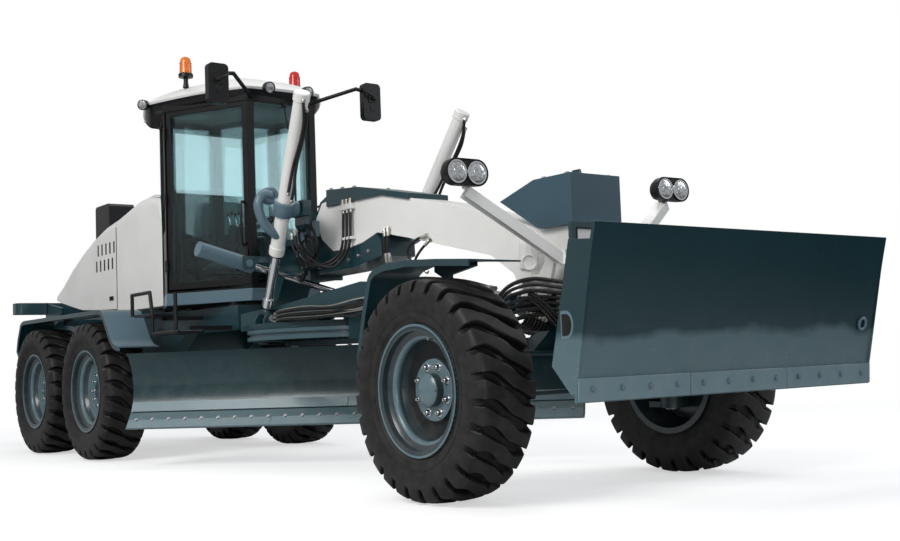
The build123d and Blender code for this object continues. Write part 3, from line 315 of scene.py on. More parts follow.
def grid_faces(nu, nv, ring_u=False, ring_v=False):
    """Four-sided faces of a grid of nu by nv points numbered row by row; ring_u and ring_v join the last line
    of points to the first."""
    u = np.arange(nu if ring_u else nu - 1)
    v = np.arange(nv if ring_v else nv - 1)
    uu, vv = np.meshgrid(u, v, indexing="ij")
    u1, v1 = (uu + 1) % nu, (vv + 1) % nv
    return np.stack([uu * nv + vv, u1 * nv + vv, u1 * nv + v1, uu * nv + v1], -1).reshape(-1, 4)


def plate(outline, origin, u, v, depth):
    """Flat plate: each (a, b) of the outline stands at origin + a u + b v, and once more depth further along
    the normal u x v; a strip of faces joins the two outlines."""
    outline, u, v = np.asarray(outline, float), np.asarray(u, float), np.asarray(v, float)
    face = np.asarray(origin, float) + outline[:, :1] * u + outline[:, 1:] * v
    count = np.arange(len(outline))
    after = (count + 1) % len(outline)
    rim = np.stack([count, after, after + len(count), count + len(count)], -1).tolist()
    return np.concatenate([face, face + depth * np.cross(u, v)]), [count[::-1].tolist(),
                                                                   (count + len(count)).tolist()] + rim


def block(low, high):
    """Box between two corners, as a plate of its own ground plan."""
    (x0, y0, z0), (x1, y1, z1) = low, high
    return plate([(x0, y0), (x1, y0), (x1, y1), (x0, y1)], (0, 0, z0), (1, 0, 0), (0, 1, 0), z1 - z0)


def turned(rows, origin, axis, steps=24, start=0.0):
    """Solid of revolution: each row is a distance along the axis from origin and a radius, swept round it in
    equal steps; a first and last radius of 0 close it."""
    axis = unit(axis)
    u = unit(np.cross(axis, (0, 0, 1) if abs(axis[2]) < 0.9 else (1, 0, 0)))
    turn = start + np.arange(steps) * 2 * pi / steps
    ring = np.cos(turn)[:, None] * u + np.sin(turn)[:, None] * np.cross(axis, u)
    rows = np.asarray(rows, float)
    points = np.asarray(origin, float) + rows[:, 0, None, None] * axis + rows[:, 1, None, None] * ring
    return points.reshape(-1, 3), grid_faces(len(rows), steps, ring_v=True)


def repeated(shape, places):
    """The same shape stood at every place: its points shifted by each in turn, its faces numbered on."""
    points, faces = shape
    places = np.asarray(places, float).reshape(-1, 3)
    return ((places[:, None] + points[None]).reshape(-1, 3),
            (np.asarray(faces)[None] + len(points) * np.arange(len(places))[:, None, None]).reshape(
                -1, np.asarray(faces).shape[1]))


def bolts(places, facing, size=0.013):
    """Hexagon heads of the given half-width on round washers, one at each place, facing away from the
    plate."""
    washer = turned(np.array([(-0.2, 0), (-0.2, 1.45), (0.22, 1.45), (0.22, 0)]) * size, (0, 0, 0), facing,
                    14)
    head = turned(np.array([(0.1, 0), (0.1, 1.1), (0.85, 1.1), (1.0, 0.92), (1.0, 0)]) * size, (0, 0, 0),
                  facing, 6)
    return [repeated(washer, places), repeated(head, places)]


def pipe(points, radius, sides=10, steps=8):
    """Round tube along the smooth line through the points: each span is a Catmull-Rom cubic of its own two
    points and their neighbours, and every ring stands square to the line."""
    p = np.asarray(points, float)
    p = np.concatenate([[2 * p[0] - p[1]], p, [2 * p[-1] - p[-2]]])
    t = np.linspace(0, 1, steps, endpoint=False)[None, :, None]
    a, b, c, d = (p[i:len(p) - 3 + i, None] for i in range(4))
    line = (2 * b + (c - a) * t + (2 * a - 5 * b + 4 * c - d) * t ** 2 + (3 * b - a - 3 * c + d) * t ** 3) / 2
    line = np.concatenate([line.reshape(-1, 3), p[-2:-1]])
    along = unit(np.gradient(line, axis=0))
    across = np.linalg.svd(line - line.mean(0))[2][-1]
    side = unit(np.cross(along, across + 0.001))
    turn = np.arange(sides) * 2 * pi / sides
    ring = (np.cos(turn)[None, :, None] * side[:, None] + np.sin(turn)[None, :, None]
            * np.cross(along, side)[:, None])
    tube = line[:, None] + radius * ring
    tube = np.concatenate([np.repeat(line[:1, None], sides, 1), tube, np.repeat(line[-1:, None], sides, 1)])
    return tube.reshape(-1, 3), grid_faces(len(tube), sides, ring_v=True)


def joined(name, shapes, mat, body, width=0.0, shade_tones=None):
    """One mesh from several shapes, its doubles merged and its faces turned outwards; edges sharper than
    35 degrees stay crisp, and a width above 0 rolls them over.  The optional tones are painted shade,
    a value from 0 to 1 at each point, kept as a point attribute that a material darkens by."""
    points, faces, base = [], [], 0
    for shape_points, shape_faces in shapes:
        points.append(shape_points)
        faces += [[base + i for i in face] for face in np.asarray(shape_faces, object).tolist()]
        base += len(shape_points)
    mesh = bpy.data.meshes.new(name)
    mesh.from_pydata(np.concatenate(points), [], faces)
    if shade_tones is not None:
        mesh.attributes.new("groove_shade", "FLOAT", "POINT").data.foreach_set("value", shade_tones)
    bm = bmesh.new()
    bm.from_mesh(mesh)
    bmesh.ops.remove_doubles(bm, verts=bm.verts, dist=0.00001)
    bmesh.ops.recalc_face_normals(bm, faces=bm.faces)
    bm.to_mesh(mesh)
    bm.free()
    mesh.materials.append(mat)
    mesh.shade_smooth()
    mesh.set_sharp_from_angle(angle=radians(35))
    piece = bpy.data.objects.new(name, mesh)
    scene.collection.objects.link(piece)
    if width:
        bevel = piece.modifiers.new("rolled_edges", "BEVEL")
        bevel.width, bevel.segments, bevel.limit_method, bevel.angle_limit = width, 2, "ANGLE", radians(35)
    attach(piece, body)
    return piece


for node in ("rear_frame", "tandem_drive"):
    dressed(node, teal)
steel = painted("bolt_steel", (0.30, 0.31, 0.33), rough=0.42, dust=0.5, metal=1.0, coat=0.0, wear=0.2)
case_face, case_low, case_high = 0.842, 0.475, 0.855
case_xs = np.array([-3.367, -3.05, -2.75, -2.44, -2.14, -1.823])
tandem_bolts = []
for side in (-1, 1):
    for z in (case_low + 0.035, case_high - 0.035):
        places = np.stack([case_xs, np.full(6, side * case_face), np.full(6, z)], -1)
        tandem_bolts += bolts(places, (0, side, 0), 0.014)
joined("tandem_cover_bolts", tandem_bolts, steel, "rear_frame")

# ---------------------------------------------------------------- bumper and rear fenders
# The bumper is a folded box across the tail with rounded ends, butt-welded from three lengths.  Each fender
# is one rolled sheet with a folded lip, bolted to brackets off the rails.
fenders = dressed("rear_fenders", teal, 0.003)
# Painted reflection: the front flare of each fender, ahead of x = -1.36, is painted pale for the bright light
# it mirrors.
fenders.data.materials.append(pale_teal)
for face in fenders.data.polygons:
    if face.center.x > -1.36 and face.center.z > 1.05:
        face.material_index = 1
bumper_top, bumper_low, bumper_x = 1.711, 1.574, (-5.215, -4.99)
bumper_joints = []
for y in (-0.58, 0.58):
    bumper_joints.append(block((bumper_x[0] - 0.0015, y - 0.004, bumper_low),
                               (bumper_x[1], y + 0.004, bumper_top + 0.002)))
joined("bumper_weld_seams", bumper_joints, pale_teal, "rear_frame")
rail_bolts = []
for side in (-1, 1):
    for x in (-1.75, -3.35):
        places = [(x + dx, side * (0.50 + dy), 1.3555) for dx in (-0.022, 0.022) for dy in (0.05, 0.32)]
        rail_bolts += bolts(places, (0, 0, -1), 0.010)
    places = [(-5.061, side * y, z) for y in (0.15, 0.30, 0.45) for z in (1.16, 1.52)]
    rail_bolts += bolts(places, (-1, 0, 0), 0.014)
joined("tail_plate_bolts", rail_bolts, steel, "rear_frame")

# ---------------------------------------------------------------- hood and cowl
# The hood is one moulded cover, sprayed white, that tips up on two lugs at the tail; upright slots let the
# fan's air out.  The cowl ahead of it is fixed and wraps the back of the cab.
white = painted("white_paint", (0.88, 0.875, 0.85), rough=0.30, dust=0.25, wear=0.0)
black = painted("black_paint", (0.006, 0.0065, 0.0075), rough=0.36, dust=0.2, coat=0.0, wear=0.08, shine=0.3)
rubber_trim = painted("black_rubber", (0.006, 0.006, 0.006), rough=0.6, dust=0.3, coat=0.0, wear=0.0,
                      shine=0.2)
for node in ("hood", "cowl"):
    dressed(node, white, 0.006, 3)
dressed("intake_box", black, 0.008, 3)
dressed("engine", black)
hood_half = 0.640
slats = []
for row_z, first_x in ((2.160, -3.080), (1.990, -3.130)):
    for i in range(5):
        x = first_x + 0.115 * i
        for side in (-1, 1):
            slats.append(block((x - 0.0213, side * (hood_half - 0.003) - 0.0015, row_z - 0.0603),
                               (x + 0.0213, side * (hood_half - 0.003) + 0.0015, row_z + 0.0603)))
joined("hood_slats", slats, rubber_trim, "hood")
seam_x = -2.5555
joined("hood_seal", [block((seam_x - 0.008, side * (hood_half - 0.012) - 0.010, 1.505),
                           (seam_x + 0.008, side * (hood_half - 0.012) + 0.010, 2.36)) for side in (-1, 1)]
       + [block((seam_x - 0.008, -0.53, 2.445), (seam_x + 0.008, 0.53, 2.463))], rubber_trim, "rear_frame")
catches = []
for side in (-1, 1):
    catches.append(plate([(-0.05, -0.022), (0.05, -0.022), (0.05, 0.022), (-0.05, 0.022)],
                         (-2.70, side * hood_half, 1.62), (1, 0, 0), (0, 0, side * -1.0), 0.010))
    catches += [turned([(0, 0), (0, 0.014), (0.012, 0.014), (0.016, 0.010), (0.016, 0)],
                       (-2.70, side * (hood_half + 0.008), 1.62), (0, side, 0), 16)]
joined("hood_catches", catches, black, "hood", 0.002)
grille = [block((-3.667, -0.435, 2.28 + 0.045 * i), (-3.659, -0.165, 2.302 + 0.045 * i)) for i in range(9)]
grille += [block((-3.243, -0.42, 2.44 + 0.045 * i), (-3.236, -0.18, 2.455 + 0.045 * i)) for i in range(5)]
joined("intake_slats", grille, black, "hood", 0.002)

# ---------------------------------------------------------------- cab
# A six-sided steel cage, black inside and out, over a pale blue-green floor frame; its panes are bonded
# safety glass with a green tint.  The white roof is one moulded cap with a dark visor lip.
dressed("cab_shell", black, 0.006, 2)
for node in ("door_left", "door_right"):
    dressed(node, black, 0.006, 2)
cab_plan = np.array([(-0.075, -0.350), (-0.075, 0.350), (-0.925, 0.790), (-1.700, 0.500), (-1.700, -0.500),
                     (-0.925, -0.790)])


def wall_strip(z0, z1, proud, deep, faces=range(6), gap=0.0):
    """Strip round the cab: a plate along each chosen face from z0 to z1, standing proud of the wall and set
    deep into it, each end held back by the gap."""
    shapes = []
    for i in faces:
        a, b = cab_plan[i], cab_plan[(i + 1) % 6]
        run = unit(b - a)
        out = np.array([run[1], -run[0]])
        a3, length = np.append(a + run * gap, z0), np.linalg.norm(b - a) - 2 * gap
        shapes.append(plate([(0, -proud), (length, -proud), (length, deep), (0, deep)], a3, (*run, 0),
                            (*-out, 0), z1 - z0))
    return shapes


joined("cab_floor_band", wall_strip(1.434, 1.545, 0.006, 0.010, faces=(0, 1, 2, 4, 5)), pale_teal,
       "rear_frame", 0.003)
joined("cab_head_band", wall_strip(3.255, 3.325, 0.004, 0.010), black, "rear_frame", 0.003)

roof_half = np.array([(-0.020, 0.300), (-0.110, 0.430), (-0.500, 0.665), (-1.000, 0.850), (-1.180, 0.862),
                      (-1.540, 0.735), (-1.830, 0.600), (-1.900, 0.480)])
roof_plan = np.concatenate([roof_half, roof_half[::-1] * (1, -1)])


def smooth_loop(points, steps=6):
    """Closed Catmull-Rom line through the points, steps to each span."""
    a, b, c, d = (np.roll(points, 1 - i, axis=0)[:, None] for i in range(4))
    t = np.linspace(0, 1, steps, endpoint=False)[None, :, None]
    line = (2 * b + (c - a) * t + (2 * a - 5 * b + 4 * c - d) * t ** 2 + (3 * b - a - 3 * c + d) * t ** 3) / 2
    return line.reshape(-1, points.shape[1])


def capped(levels, middle, loop):
    """Shell over a plan: at each (height, scale) the loop is drawn towards the middle by the scale."""
    rows = [np.concatenate([middle + (loop - middle) * scale, np.full((len(loop), 1), z)], 1)
            for z, scale in levels]
    return np.concatenate(rows), grid_faces(len(rows), len(loop), ring_v=True)


roof_loop, roof_middle = smooth_loop(roof_plan), np.array([-0.960, 0.0])
dome = [(3.600 - 0.225 * (s ** 2.6), s) for s in np.linspace(0, 1, 15)]
roof_cap = joined("roof_cap", [capped(dome + [(3.365, 0.996), (3.355, 0.985), (3.355, 0.0)], roof_middle,
                                      roof_loop)], white, "rear_frame")
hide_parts("cab_roof")
joined("roof_visor", [capped([(3.356, 0.0), (3.356, 0.975), (3.335, 0.965), (3.300, 0.93), (3.290, 0.91),
                              (3.300, 0.0)], roof_middle, roof_loop)], black, "rear_frame")

tinted = bpy.data.materials.new("tinted_glass")
tinted.use_nodes = True
n, l = tinted.node_tree.nodes, tinted.node_tree.links
pane_shader = n["Principled BSDF"]
pane_shader.inputs["Base Color"].default_value = (0.32, 0.68, 0.74, 1)
pane_shader.inputs["Alpha"].default_value = 0.42
pane_shader.inputs["Roughness"].default_value = 0.0
pane_shader.inputs["IOR"].default_value = 1.45
pane_shader.inputs["Transmission Weight"].default_value = 1.0
pane_coord, pane_noise = n.new("ShaderNodeTexCoord"), n.new("ShaderNodeTexNoise")
pane_bump = n.new("ShaderNodeBump")
pane_noise.inputs["Scale"].default_value = 1.4
pane_bump.inputs["Strength"].default_value = 0.01
l.new(pane_coord.outputs["Object"], pane_noise.inputs["Vector"])
l.new(pane_noise.outputs["Fac"], pane_bump.inputs["Height"])
l.new(pane_bump.outputs[0], pane_shader.inputs["Normal"])
for node in ("cab_glass", "door_left_glass", "door_right_glass"):
    nodes[node].data.materials.clear()
    nodes[node].data.materials.append(tinted)

hinges = []
for side, body in ((-1, "door_right"), (1, "door_left")):
    front, rear = np.array([-0.075, side * 0.350, 0]), np.array([-0.925, side * 0.790, 0])
    run = unit(rear - front)
    out = unit(np.cross(run, (0, 0, 1)) * -side)
    if out[1] * side < 0:
        out = -out
    lock = front + run * 0.055 + out * 0.004
    grip = [lock + (0, 0, 1.95), lock + out * 0.055 + (0, 0, 1.97), lock + out * 0.055 + (0, 0, 2.30),
            lock + (0, 0, 2.32)]
    lock_box = plate([(-0.020, -0.05), (0.020, -0.05), (0.020, 0.05), (-0.020, 0.05)],
                     front + run * 0.045 + (0, 0, 1.86) + out * (0.004 if side > 0 else 0.018), run,
                     (0, 0, 1), 0.014)
    joined(body + "_handle", [pipe(grip, 0.011, 10), lock_box], black, body)
    for z in (1.80, 2.42, 3.05):
        place = rear - run * 0.012 + out * 0.012 + (0, 0, z)
        hinges.append(turned([(-0.055, 0), (-0.055, 0.016), (0.055, 0.016), (0.055, 0)], place, (0, 0, 1),
                             16))
joined("door_hinges", hinges, black, "rear_frame")

# ---------------------------------------------------------------- operator's place
# A sprung seat with foam cushions in dark woven cloth, a column with a rimmed wheel, and a lever pod on
# either side of it; levers are chromed rods with moulded knobs.
seat_cloth = bpy.data.materials.new("seat_cloth")
seat_cloth.use_nodes = True
n, l = seat_cloth.node_tree.nodes, seat_cloth.node_tree.links
cloth_coord, weave = n.new("ShaderNodeTexCoord"), n.new("ShaderNodeTexVoronoi")
cloth_bump = n.new("ShaderNodeBump")
weave.inputs["Scale"].default_value = 260
cloth_ramp = n.new("ShaderNodeValToRGB")
cloth_ramp.color_ramp.elements[0].color = (0.016, 0.017, 0.019, 1)
cloth_ramp.color_ramp.elements[1].color = (0.050, 0.052, 0.058, 1)
l.new(cloth_coord.outputs["Object"], weave.inputs["Vector"])
l.new(weave.outputs["Distance"], cloth_ramp.inputs["Fac"])
l.new(cloth_ramp.outputs["Color"], n["Principled BSDF"].inputs["Base Color"])
n["Principled BSDF"].inputs["Roughness"].default_value = 0.85
n["Principled BSDF"].inputs["Sheen Weight"].default_value = 0.3
cloth_bump.inputs["Strength"].default_value = 0.4
cloth_bump.inputs["Distance"].default_value = 0.001
l.new(weave.outputs["Distance"], cloth_bump.inputs["Height"])
l.new(cloth_bump.outputs[0], n["Principled BSDF"].inputs["Normal"])


def cushion(name, centre, across, up, normal, half_a, half_b, thick):
    """Cushion over a superellipse plan: the grid runs round the rim and in to the middle, its height a
    crown of (1 - r^4) ^ 0.5 with two sewn channels that pinch it, and its sides pull in between the
    corners."""
    turn = np.linspace(0, 2 * pi, 64, endpoint=False)[None]
    r = np.sin(np.linspace(0, pi / 2, 15))[:, None]
    power = 0.42
    a = r * np.sign(np.cos(turn)) * np.abs(np.cos(turn)) ** power
    b = r * np.sign(np.sin(turn)) * np.abs(np.sin(turn)) ** power
    pull = 1 - 0.03 * (1 - np.abs(np.sin(2 * turn)))
    crown = np.sqrt(np.clip(1 - r ** 4, 0, 1))
    channel = np.exp(-((np.abs(b) - 0.42) / 0.035) ** 2)
    top = thick * crown * (1 - 0.16 * channel * (r < 0.97)) * (1 - 0.10 * np.exp(-(r / 0.5) ** 2))
    centre, across, up, normal = (np.asarray(value, float) for value in (centre, across, up, normal))
    plan = centre + (half_a * a * pull)[..., None] * across + (half_b * b * pull)[..., None] * up
    front = plan + top[..., None] * normal
    back = plan[::-1] - (0.25 * thick * crown[::-1])[..., None] * normal
    grid = np.concatenate([front, back[1:]])
    piece = joined(name, [(grid.reshape(-1, 3), grid_faces(len(grid), 64, ring_v=True))], seat_cloth,
                   "rear_frame")
    piece.modifiers.new("soft", "SUBSURF").levels = 1
    piece.modifiers["soft"].render_levels = 1
    return piece


lean = radians(7.2)
recline, spine = (cos(lean), 0, sin(lean)), (-sin(lean), 0, cos(lean))
seat_base = cushion("seat_cushion", (-1.165, 0, 1.80), (1, 0, 0), (0, 1, 0), (0, 0, 1), 0.245, 0.245, 0.085)
cushion("back_cushion", (-1.425, 0, 2.205), (0, 1, 0), spine, recline, 0.235, 0.330, 0.075)
cushion("head_cushion", (-1.470, 0, 2.500), (0, 1, 0), spine, recline, 0.150, 0.055, 0.055)
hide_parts("seat")
seat_frame = [plate([(-1.33, 1.49), (-0.99, 1.49), (-1.05, 1.74), (-1.27, 1.74)], (0, 0.17, 0), (1, 0, 0),
                    (0, 0, 1), 0.34)]
seat_frame.append(block((-1.41, -0.235, 1.735), (-0.93, 0.235, 1.785)))
seat_frame.append(plate([(-1.44, 1.86), (-1.425, 1.86), (-1.505, 2.54), (-1.52, 2.54)], (0, 0.20, 0),
                        (1, 0, 0), (0, 0, 1), 0.40))
for side in (-1, 1):
    y = side * 0.29
    seat_frame.append(block((-1.40, y - 0.038, 2.085), (-1.05, y + 0.038, 2.135)))
    seat_frame.append(block((-1.39, side * 0.27 - 0.02, 1.78), (-1.345, side * 0.27 + 0.02, 2.09)))
for k in range(4):
    seat_frame.append(block((-1.325 + 0.006 * k, -0.165, 1.515 + 0.05 * k),
                            (-0.995 - 0.006 * k, 0.165, 1.530 + 0.05 * k)))
joined("seat_frame", seat_frame, black, "rear_frame", 0.006)
dressed("steering_column", black, 0.004)
pods, levers, knobs = [], [], []
for side in (-1, 1):
    y = side * 0.235
    pods.append(plate([(-0.36, 1.62), (-0.26, 1.62), (-0.36, 2.12), (-0.50, 2.16), (-0.54, 2.10)],
                      (0, y + 0.045, 0), (1, 0, 0), (0, 0, 1), 0.09))
    for k in range(4):
        foot = np.array([-0.50 + 0.035 * k, y - 0.024 + 0.016 * k, 2.13])
        tip = foot + (-0.05, 0.0, 0.115 + 0.012 * (k % 2))
        levers.append(pipe([foot, (foot + tip) / 2, tip], 0.0045, 8, 4))
        knobs.append(turned([(-0.012, 0), (-0.010, 0.010), (0.004, 0.015), (0.020, 0.011), (0.026, 0)], tip,
                            (0, 0, 1), 12))
joined("lever_pods", pods, black, "rear_frame", 0.008)
chrome = painted("hard_chrome", (0.75, 0.76, 0.78), rough=0.12, dust=0.0, coat=0.0, metal=1.0, grain=60,
                 wear=0.0)
joined("levers", levers, chrome, "rear_frame")
joined("lever_knobs", knobs, rubber_trim, "rear_frame")
floor_ribs = [block((-0.90 + 0.05 * k, -0.30, 1.4895), (-0.88 + 0.05 * k, 0.30, 1.4945)) for k in range(9)]
joined("floor_mat", floor_ribs + [block((-0.95, -0.42, 1.4885), (-0.42, 0.42, 1.4915))], rubber_trim,
       "rear_frame")
pedals = [plate([(-0.05, 0), (0.05, 0), (0.045, 0.15), (-0.045, 0.15)], (-0.26, y, 1.51), (0, 1, 0),
                unit((0.5, 0, 1)), 0.012) for y in (-0.20, 0.20)]
joined("pedals", pedals, black, "rear_frame", 0.003)

# ---------------------------------------------------------------- wipers, rails, steps and mirrors
# Black round tube makes the rails; the treads are pressed plate with raised ribs.  The mirrors hang on bent
# tube off the front corners and carry convex glass in a moulded shell.
dressed("access_steps", black, 0.003)
dressed("mirrors", black, 0.012, 3)
treads = []
for side in (-1, 1):
    y0, y1 = sorted((side * 0.835, side * 1.06))
    for k in range(9):
        treads.append(block((-0.985 + 0.04 * k, y0, 1.3515), (-0.973 + 0.04 * k, y1, 1.357)))
    for k in range(12):
        treads.append(block((-0.545 + 0.04 * k, y0, 1.1715), (-0.533 + 0.04 * k, y1, 1.177)))
joined("step_ribs", treads, pale_teal, "rear_frame", 0.0015)
mirror_x, mirror_y, mirror_z = 0.215, 0.790, 3.290
mirror_glass = painted("mirror_glass", (0.72, 0.76, 0.78), rough=0.03, dust=0.0, coat=0.0, metal=1.0,
                       wear=0.0)
panes = []
for side in (-1, 1):
    corner = np.linspace(0, pi / 2, 5)
    quarter = np.stack([0.055 + 0.025 * np.cos(corner), 0.135 + 0.025 * np.sin(corner)], -1)
    outline = np.concatenate([quarter, quarter[::-1] * (-1, 1), quarter * (-1, -1), quarter[::-1] * (1, -1)])
    panes.append(plate(outline, (mirror_x - 0.0355, side * mirror_y, mirror_z), (0, 1, 0), (0, 0, 1), 0.002))
joined("mirror_panes", panes, mirror_glass, "rear_frame")
wiper = [pipe([(-0.066, 0.02, 3.24), (-0.045, 0.03, 3.10), (-0.048, 0.10, 2.75), (-0.062, 0.12, 2.55)],
              0.007), block((-0.070, 0.105, 2.28), (-0.062, 0.125, 2.86)),
         turned([(0, 0), (0, 0.024), (0.03, 0.022), (0.034, 0)], (-0.076, 0.02, 3.235), (1, 0, 0), 16)]
joined("windscreen_wiper", wiper, black, "rear_frame")
brackets = []
for side in (-1, 1):
    back = np.array([mirror_x + 0.034, side * mirror_y, mirror_z])
    brackets += [block(back + (-0.004, -0.040, -0.010), back + (0.010, 0.040, 0.075)),
                 block(back + (-0.004, -0.022, -0.085), back + (0.006, 0.022, -0.010)),
                 turned([(0, 0), (0, 0.020), (0.020, 0.024), (0.034, 0.016), (0.036, 0)],
                        back + (0.004, 0.012 * side, 0.030), (1, 0, 0), 20),
                 pipe([back + (0.028, 0.012 * side, 0.030), back + (0.036, -0.03 * side, 0.050),
                       back + (0.010, -0.095 * side, 0.090)], 0.010)]
joined("mirror_brackets", brackets, black, "rear_frame", 0.002)

# ---------------------------------------------------------------- cab lamps and beacons
# Round work lamps in moulded cups hang under the roof's edge, and a turning beacon stands on a stalk at
# each side: a clear plastic dome over a black foot, amber on the right and red on the left.
lens = bpy.data.materials.new("lamp_lens")
lens.use_nodes = True
n, l = lens.node_tree.nodes, lens.node_tree.links
lens_coord, flutes = n.new("ShaderNodeTexCoord"), n.new("ShaderNodeTexVoronoi")
lens_bump = n.new("ShaderNodeBump")
lens_ramp = n.new("ShaderNodeValToRGB")
flutes.inputs["Scale"].default_value = 55
lens_ramp.color_ramp.elements[0].color = (0.80, 0.82, 0.84, 1)
lens_ramp.color_ramp.elements[1].color = (0.34, 0.36, 0.38, 1)
lens_bump.inputs["Strength"].default_value = 0.35
lens_bump.inputs["Distance"].default_value = 0.003
l.new(lens_coord.outputs["Object"], flutes.inputs["Vector"])
l.new(flutes.outputs["Distance"], lens_ramp.inputs["Fac"])
l.new(lens_ramp.outputs["Color"], n["Principled BSDF"].inputs["Base Color"])
l.new(flutes.outputs["Distance"], lens_bump.inputs["Height"])
l.new(lens_bump.outputs[0], n["Principled BSDF"].inputs["Normal"])
n["Principled BSDF"].inputs["Metallic"].default_value = 0.55
n["Principled BSDF"].inputs["Roughness"].default_value = 0.08
n["Principled BSDF"].inputs["Coat Weight"].default_value = 1.0
amber = painted("amber_dome", (0.85, 0.20, 0.012), rough=0.12, dust=0.0, coat=0.6, grain=90, wear=0.0)
red = painted("red_dome", (0.62, 0.018, 0.012), rough=0.12, dust=0.0, coat=0.6, grain=90, wear=0.0)
silver = painted("polished_reflector", (0.72, 0.73, 0.74), rough=0.14, dust=0.0, metal=1.0, coat=0.0,
                 wear=0.0)
cups, glasses, domes, feet = [], [], {}, []
for side in (-1, 1):
    for base, axis, radius in (((0.010, side * 0.200, 3.365), (0.07, 0, -0.015), 0.055),
                               ((-1.150, side * 0.860, 3.365), (0.06, side * 0.07, -0.015), 0.050)):
        deep = np.linalg.norm(axis)
        cups.append(turned([(0, 0), (0.0, 0.6 * radius), (0.25 * deep, 0.92 * radius), (deep, radius),
                            (deep + 0.003, 0.93 * radius),
                            (deep - 0.006, 0.86 * radius), (deep - 0.006, 0)], base, axis, 28))
        glasses.append(turned([(deep - 0.007, 0), (deep - 0.007, 0.87 * radius),
                               (deep - 0.002, 0.80 * radius),
                               (deep + 0.001, 0.4 * radius), (deep + 0.002, 0)], base, axis, 28))
    foot = (-0.850, side * 0.590, 3.50)
    cups.append(turned([(0, 0), (0, 0.030), (0.05, 0.022), (0.095, 0.022), (0.10, 0.068), (0.125, 0.070),
                        (0.136, 0.064), (0.138, 0)], foot, (0, 0, 1), 28))
    domes[side] = [turned([(0.137, 0), (0.137, 0.056), (0.20, 0.055), (0.262, 0.050), (0.285, 0.040),
                           (0.296, 0.020), (0.299, 0)], foot, (0, 0, 1), 28)]
    domes[side] += [turned([(z, 0), (z, 0.0575), (z + 0.006, 0.0575), (z + 0.006, 0)], foot, (0, 0, 1), 28)
                    for z in (0.150, 0.170, 0.190, 0.210, 0.230)]
    feet.append(block((-5.100, side * 0.42 - 0.110, 1.360), (-5.066, side * 0.42 + 0.110, 1.460)))
    for k, offset in enumerate((-0.072, 0.0, 0.072)):
        glasses.append(turned([(0, 0), (0, 0.030), (0.006, 0.030), (0.010, 0.022), (0.011, 0)],
                              (-5.088, side * 0.42 + offset, 1.41), (-1, 0, 0), 20))
lamp_cups = joined("cab_lamp_cups", cups + feet, black, "rear_frame")
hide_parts("cab_lamps")
joined("cab_lamp_lenses", glasses, lens, "rear_frame")
joined("beacon_near", domes[-1], amber, "rear_frame")
joined("beacon_far", domes[1], red, "rear_frame")

# ---------------------------------------------------------------- front frame
# The gooseneck boom is a welded white box with a bolted top plate; the heavy block behind it is cast and
# painted blue-green, and carries the articulation forks and both lift cylinders.
dressed("boom", white, 0.006, 3)
dressed("saddle", teal, 0.006, 3)
ballast_blue = painted("ballast_paint", (0.034, 0.085, 0.118), rough=0.30, dust=0.25)
dressed("ballast_box", ballast_blue, 0.010, 3)
boom_half = 0.170
heel_bolts = []
for x, z in ((0.655, 1.70), (0.655, 1.98), (0.705, 1.70), (0.705, 1.98)):
    for side in (-1, 1):
        heel_bolts += bolts([(x, side * 0.2605, z)], (0, side, 0), 0.016)
for side in (-1, 1):
    heel_bolts += bolts([(x, side * 0.161, z) for x, z in ((0.80, 1.66), (0.95, 1.66), (1.10, 1.67),
                                                           (1.25, 1.68), (1.40, 1.70),
                                                           (1.55, 1.72))], (0, side, 0), 0.015)
    heel_bolts += bolts([(x, side * 0.165, 2.2505 + (1.472 - x) * 0.0854) for x in (1.02, 1.20, 1.38)],
                        (0, 0, 1), 0.015)
joined("saddle_bolts", heel_bolts, steel, "front_frame")
box_bolts = bolts([(x, side * 0.180, 1.9905) for x in (3.68, 3.90) for side in (-1, 1)], (0, 0, 1), 0.014)
joined("ballast_bolts", box_bolts, steel, "front_frame")
lifting = [plate([(-0.05, 0), (0.05, 0), (0.035, 0.055), (-0.035, 0.055)], (3.80, 0.008, 1.989), (1, 0, 0),
                 (0, 0, 1), 0.016)]
joined("ballast_eye", lifting, teal, "front_frame", 0.003)

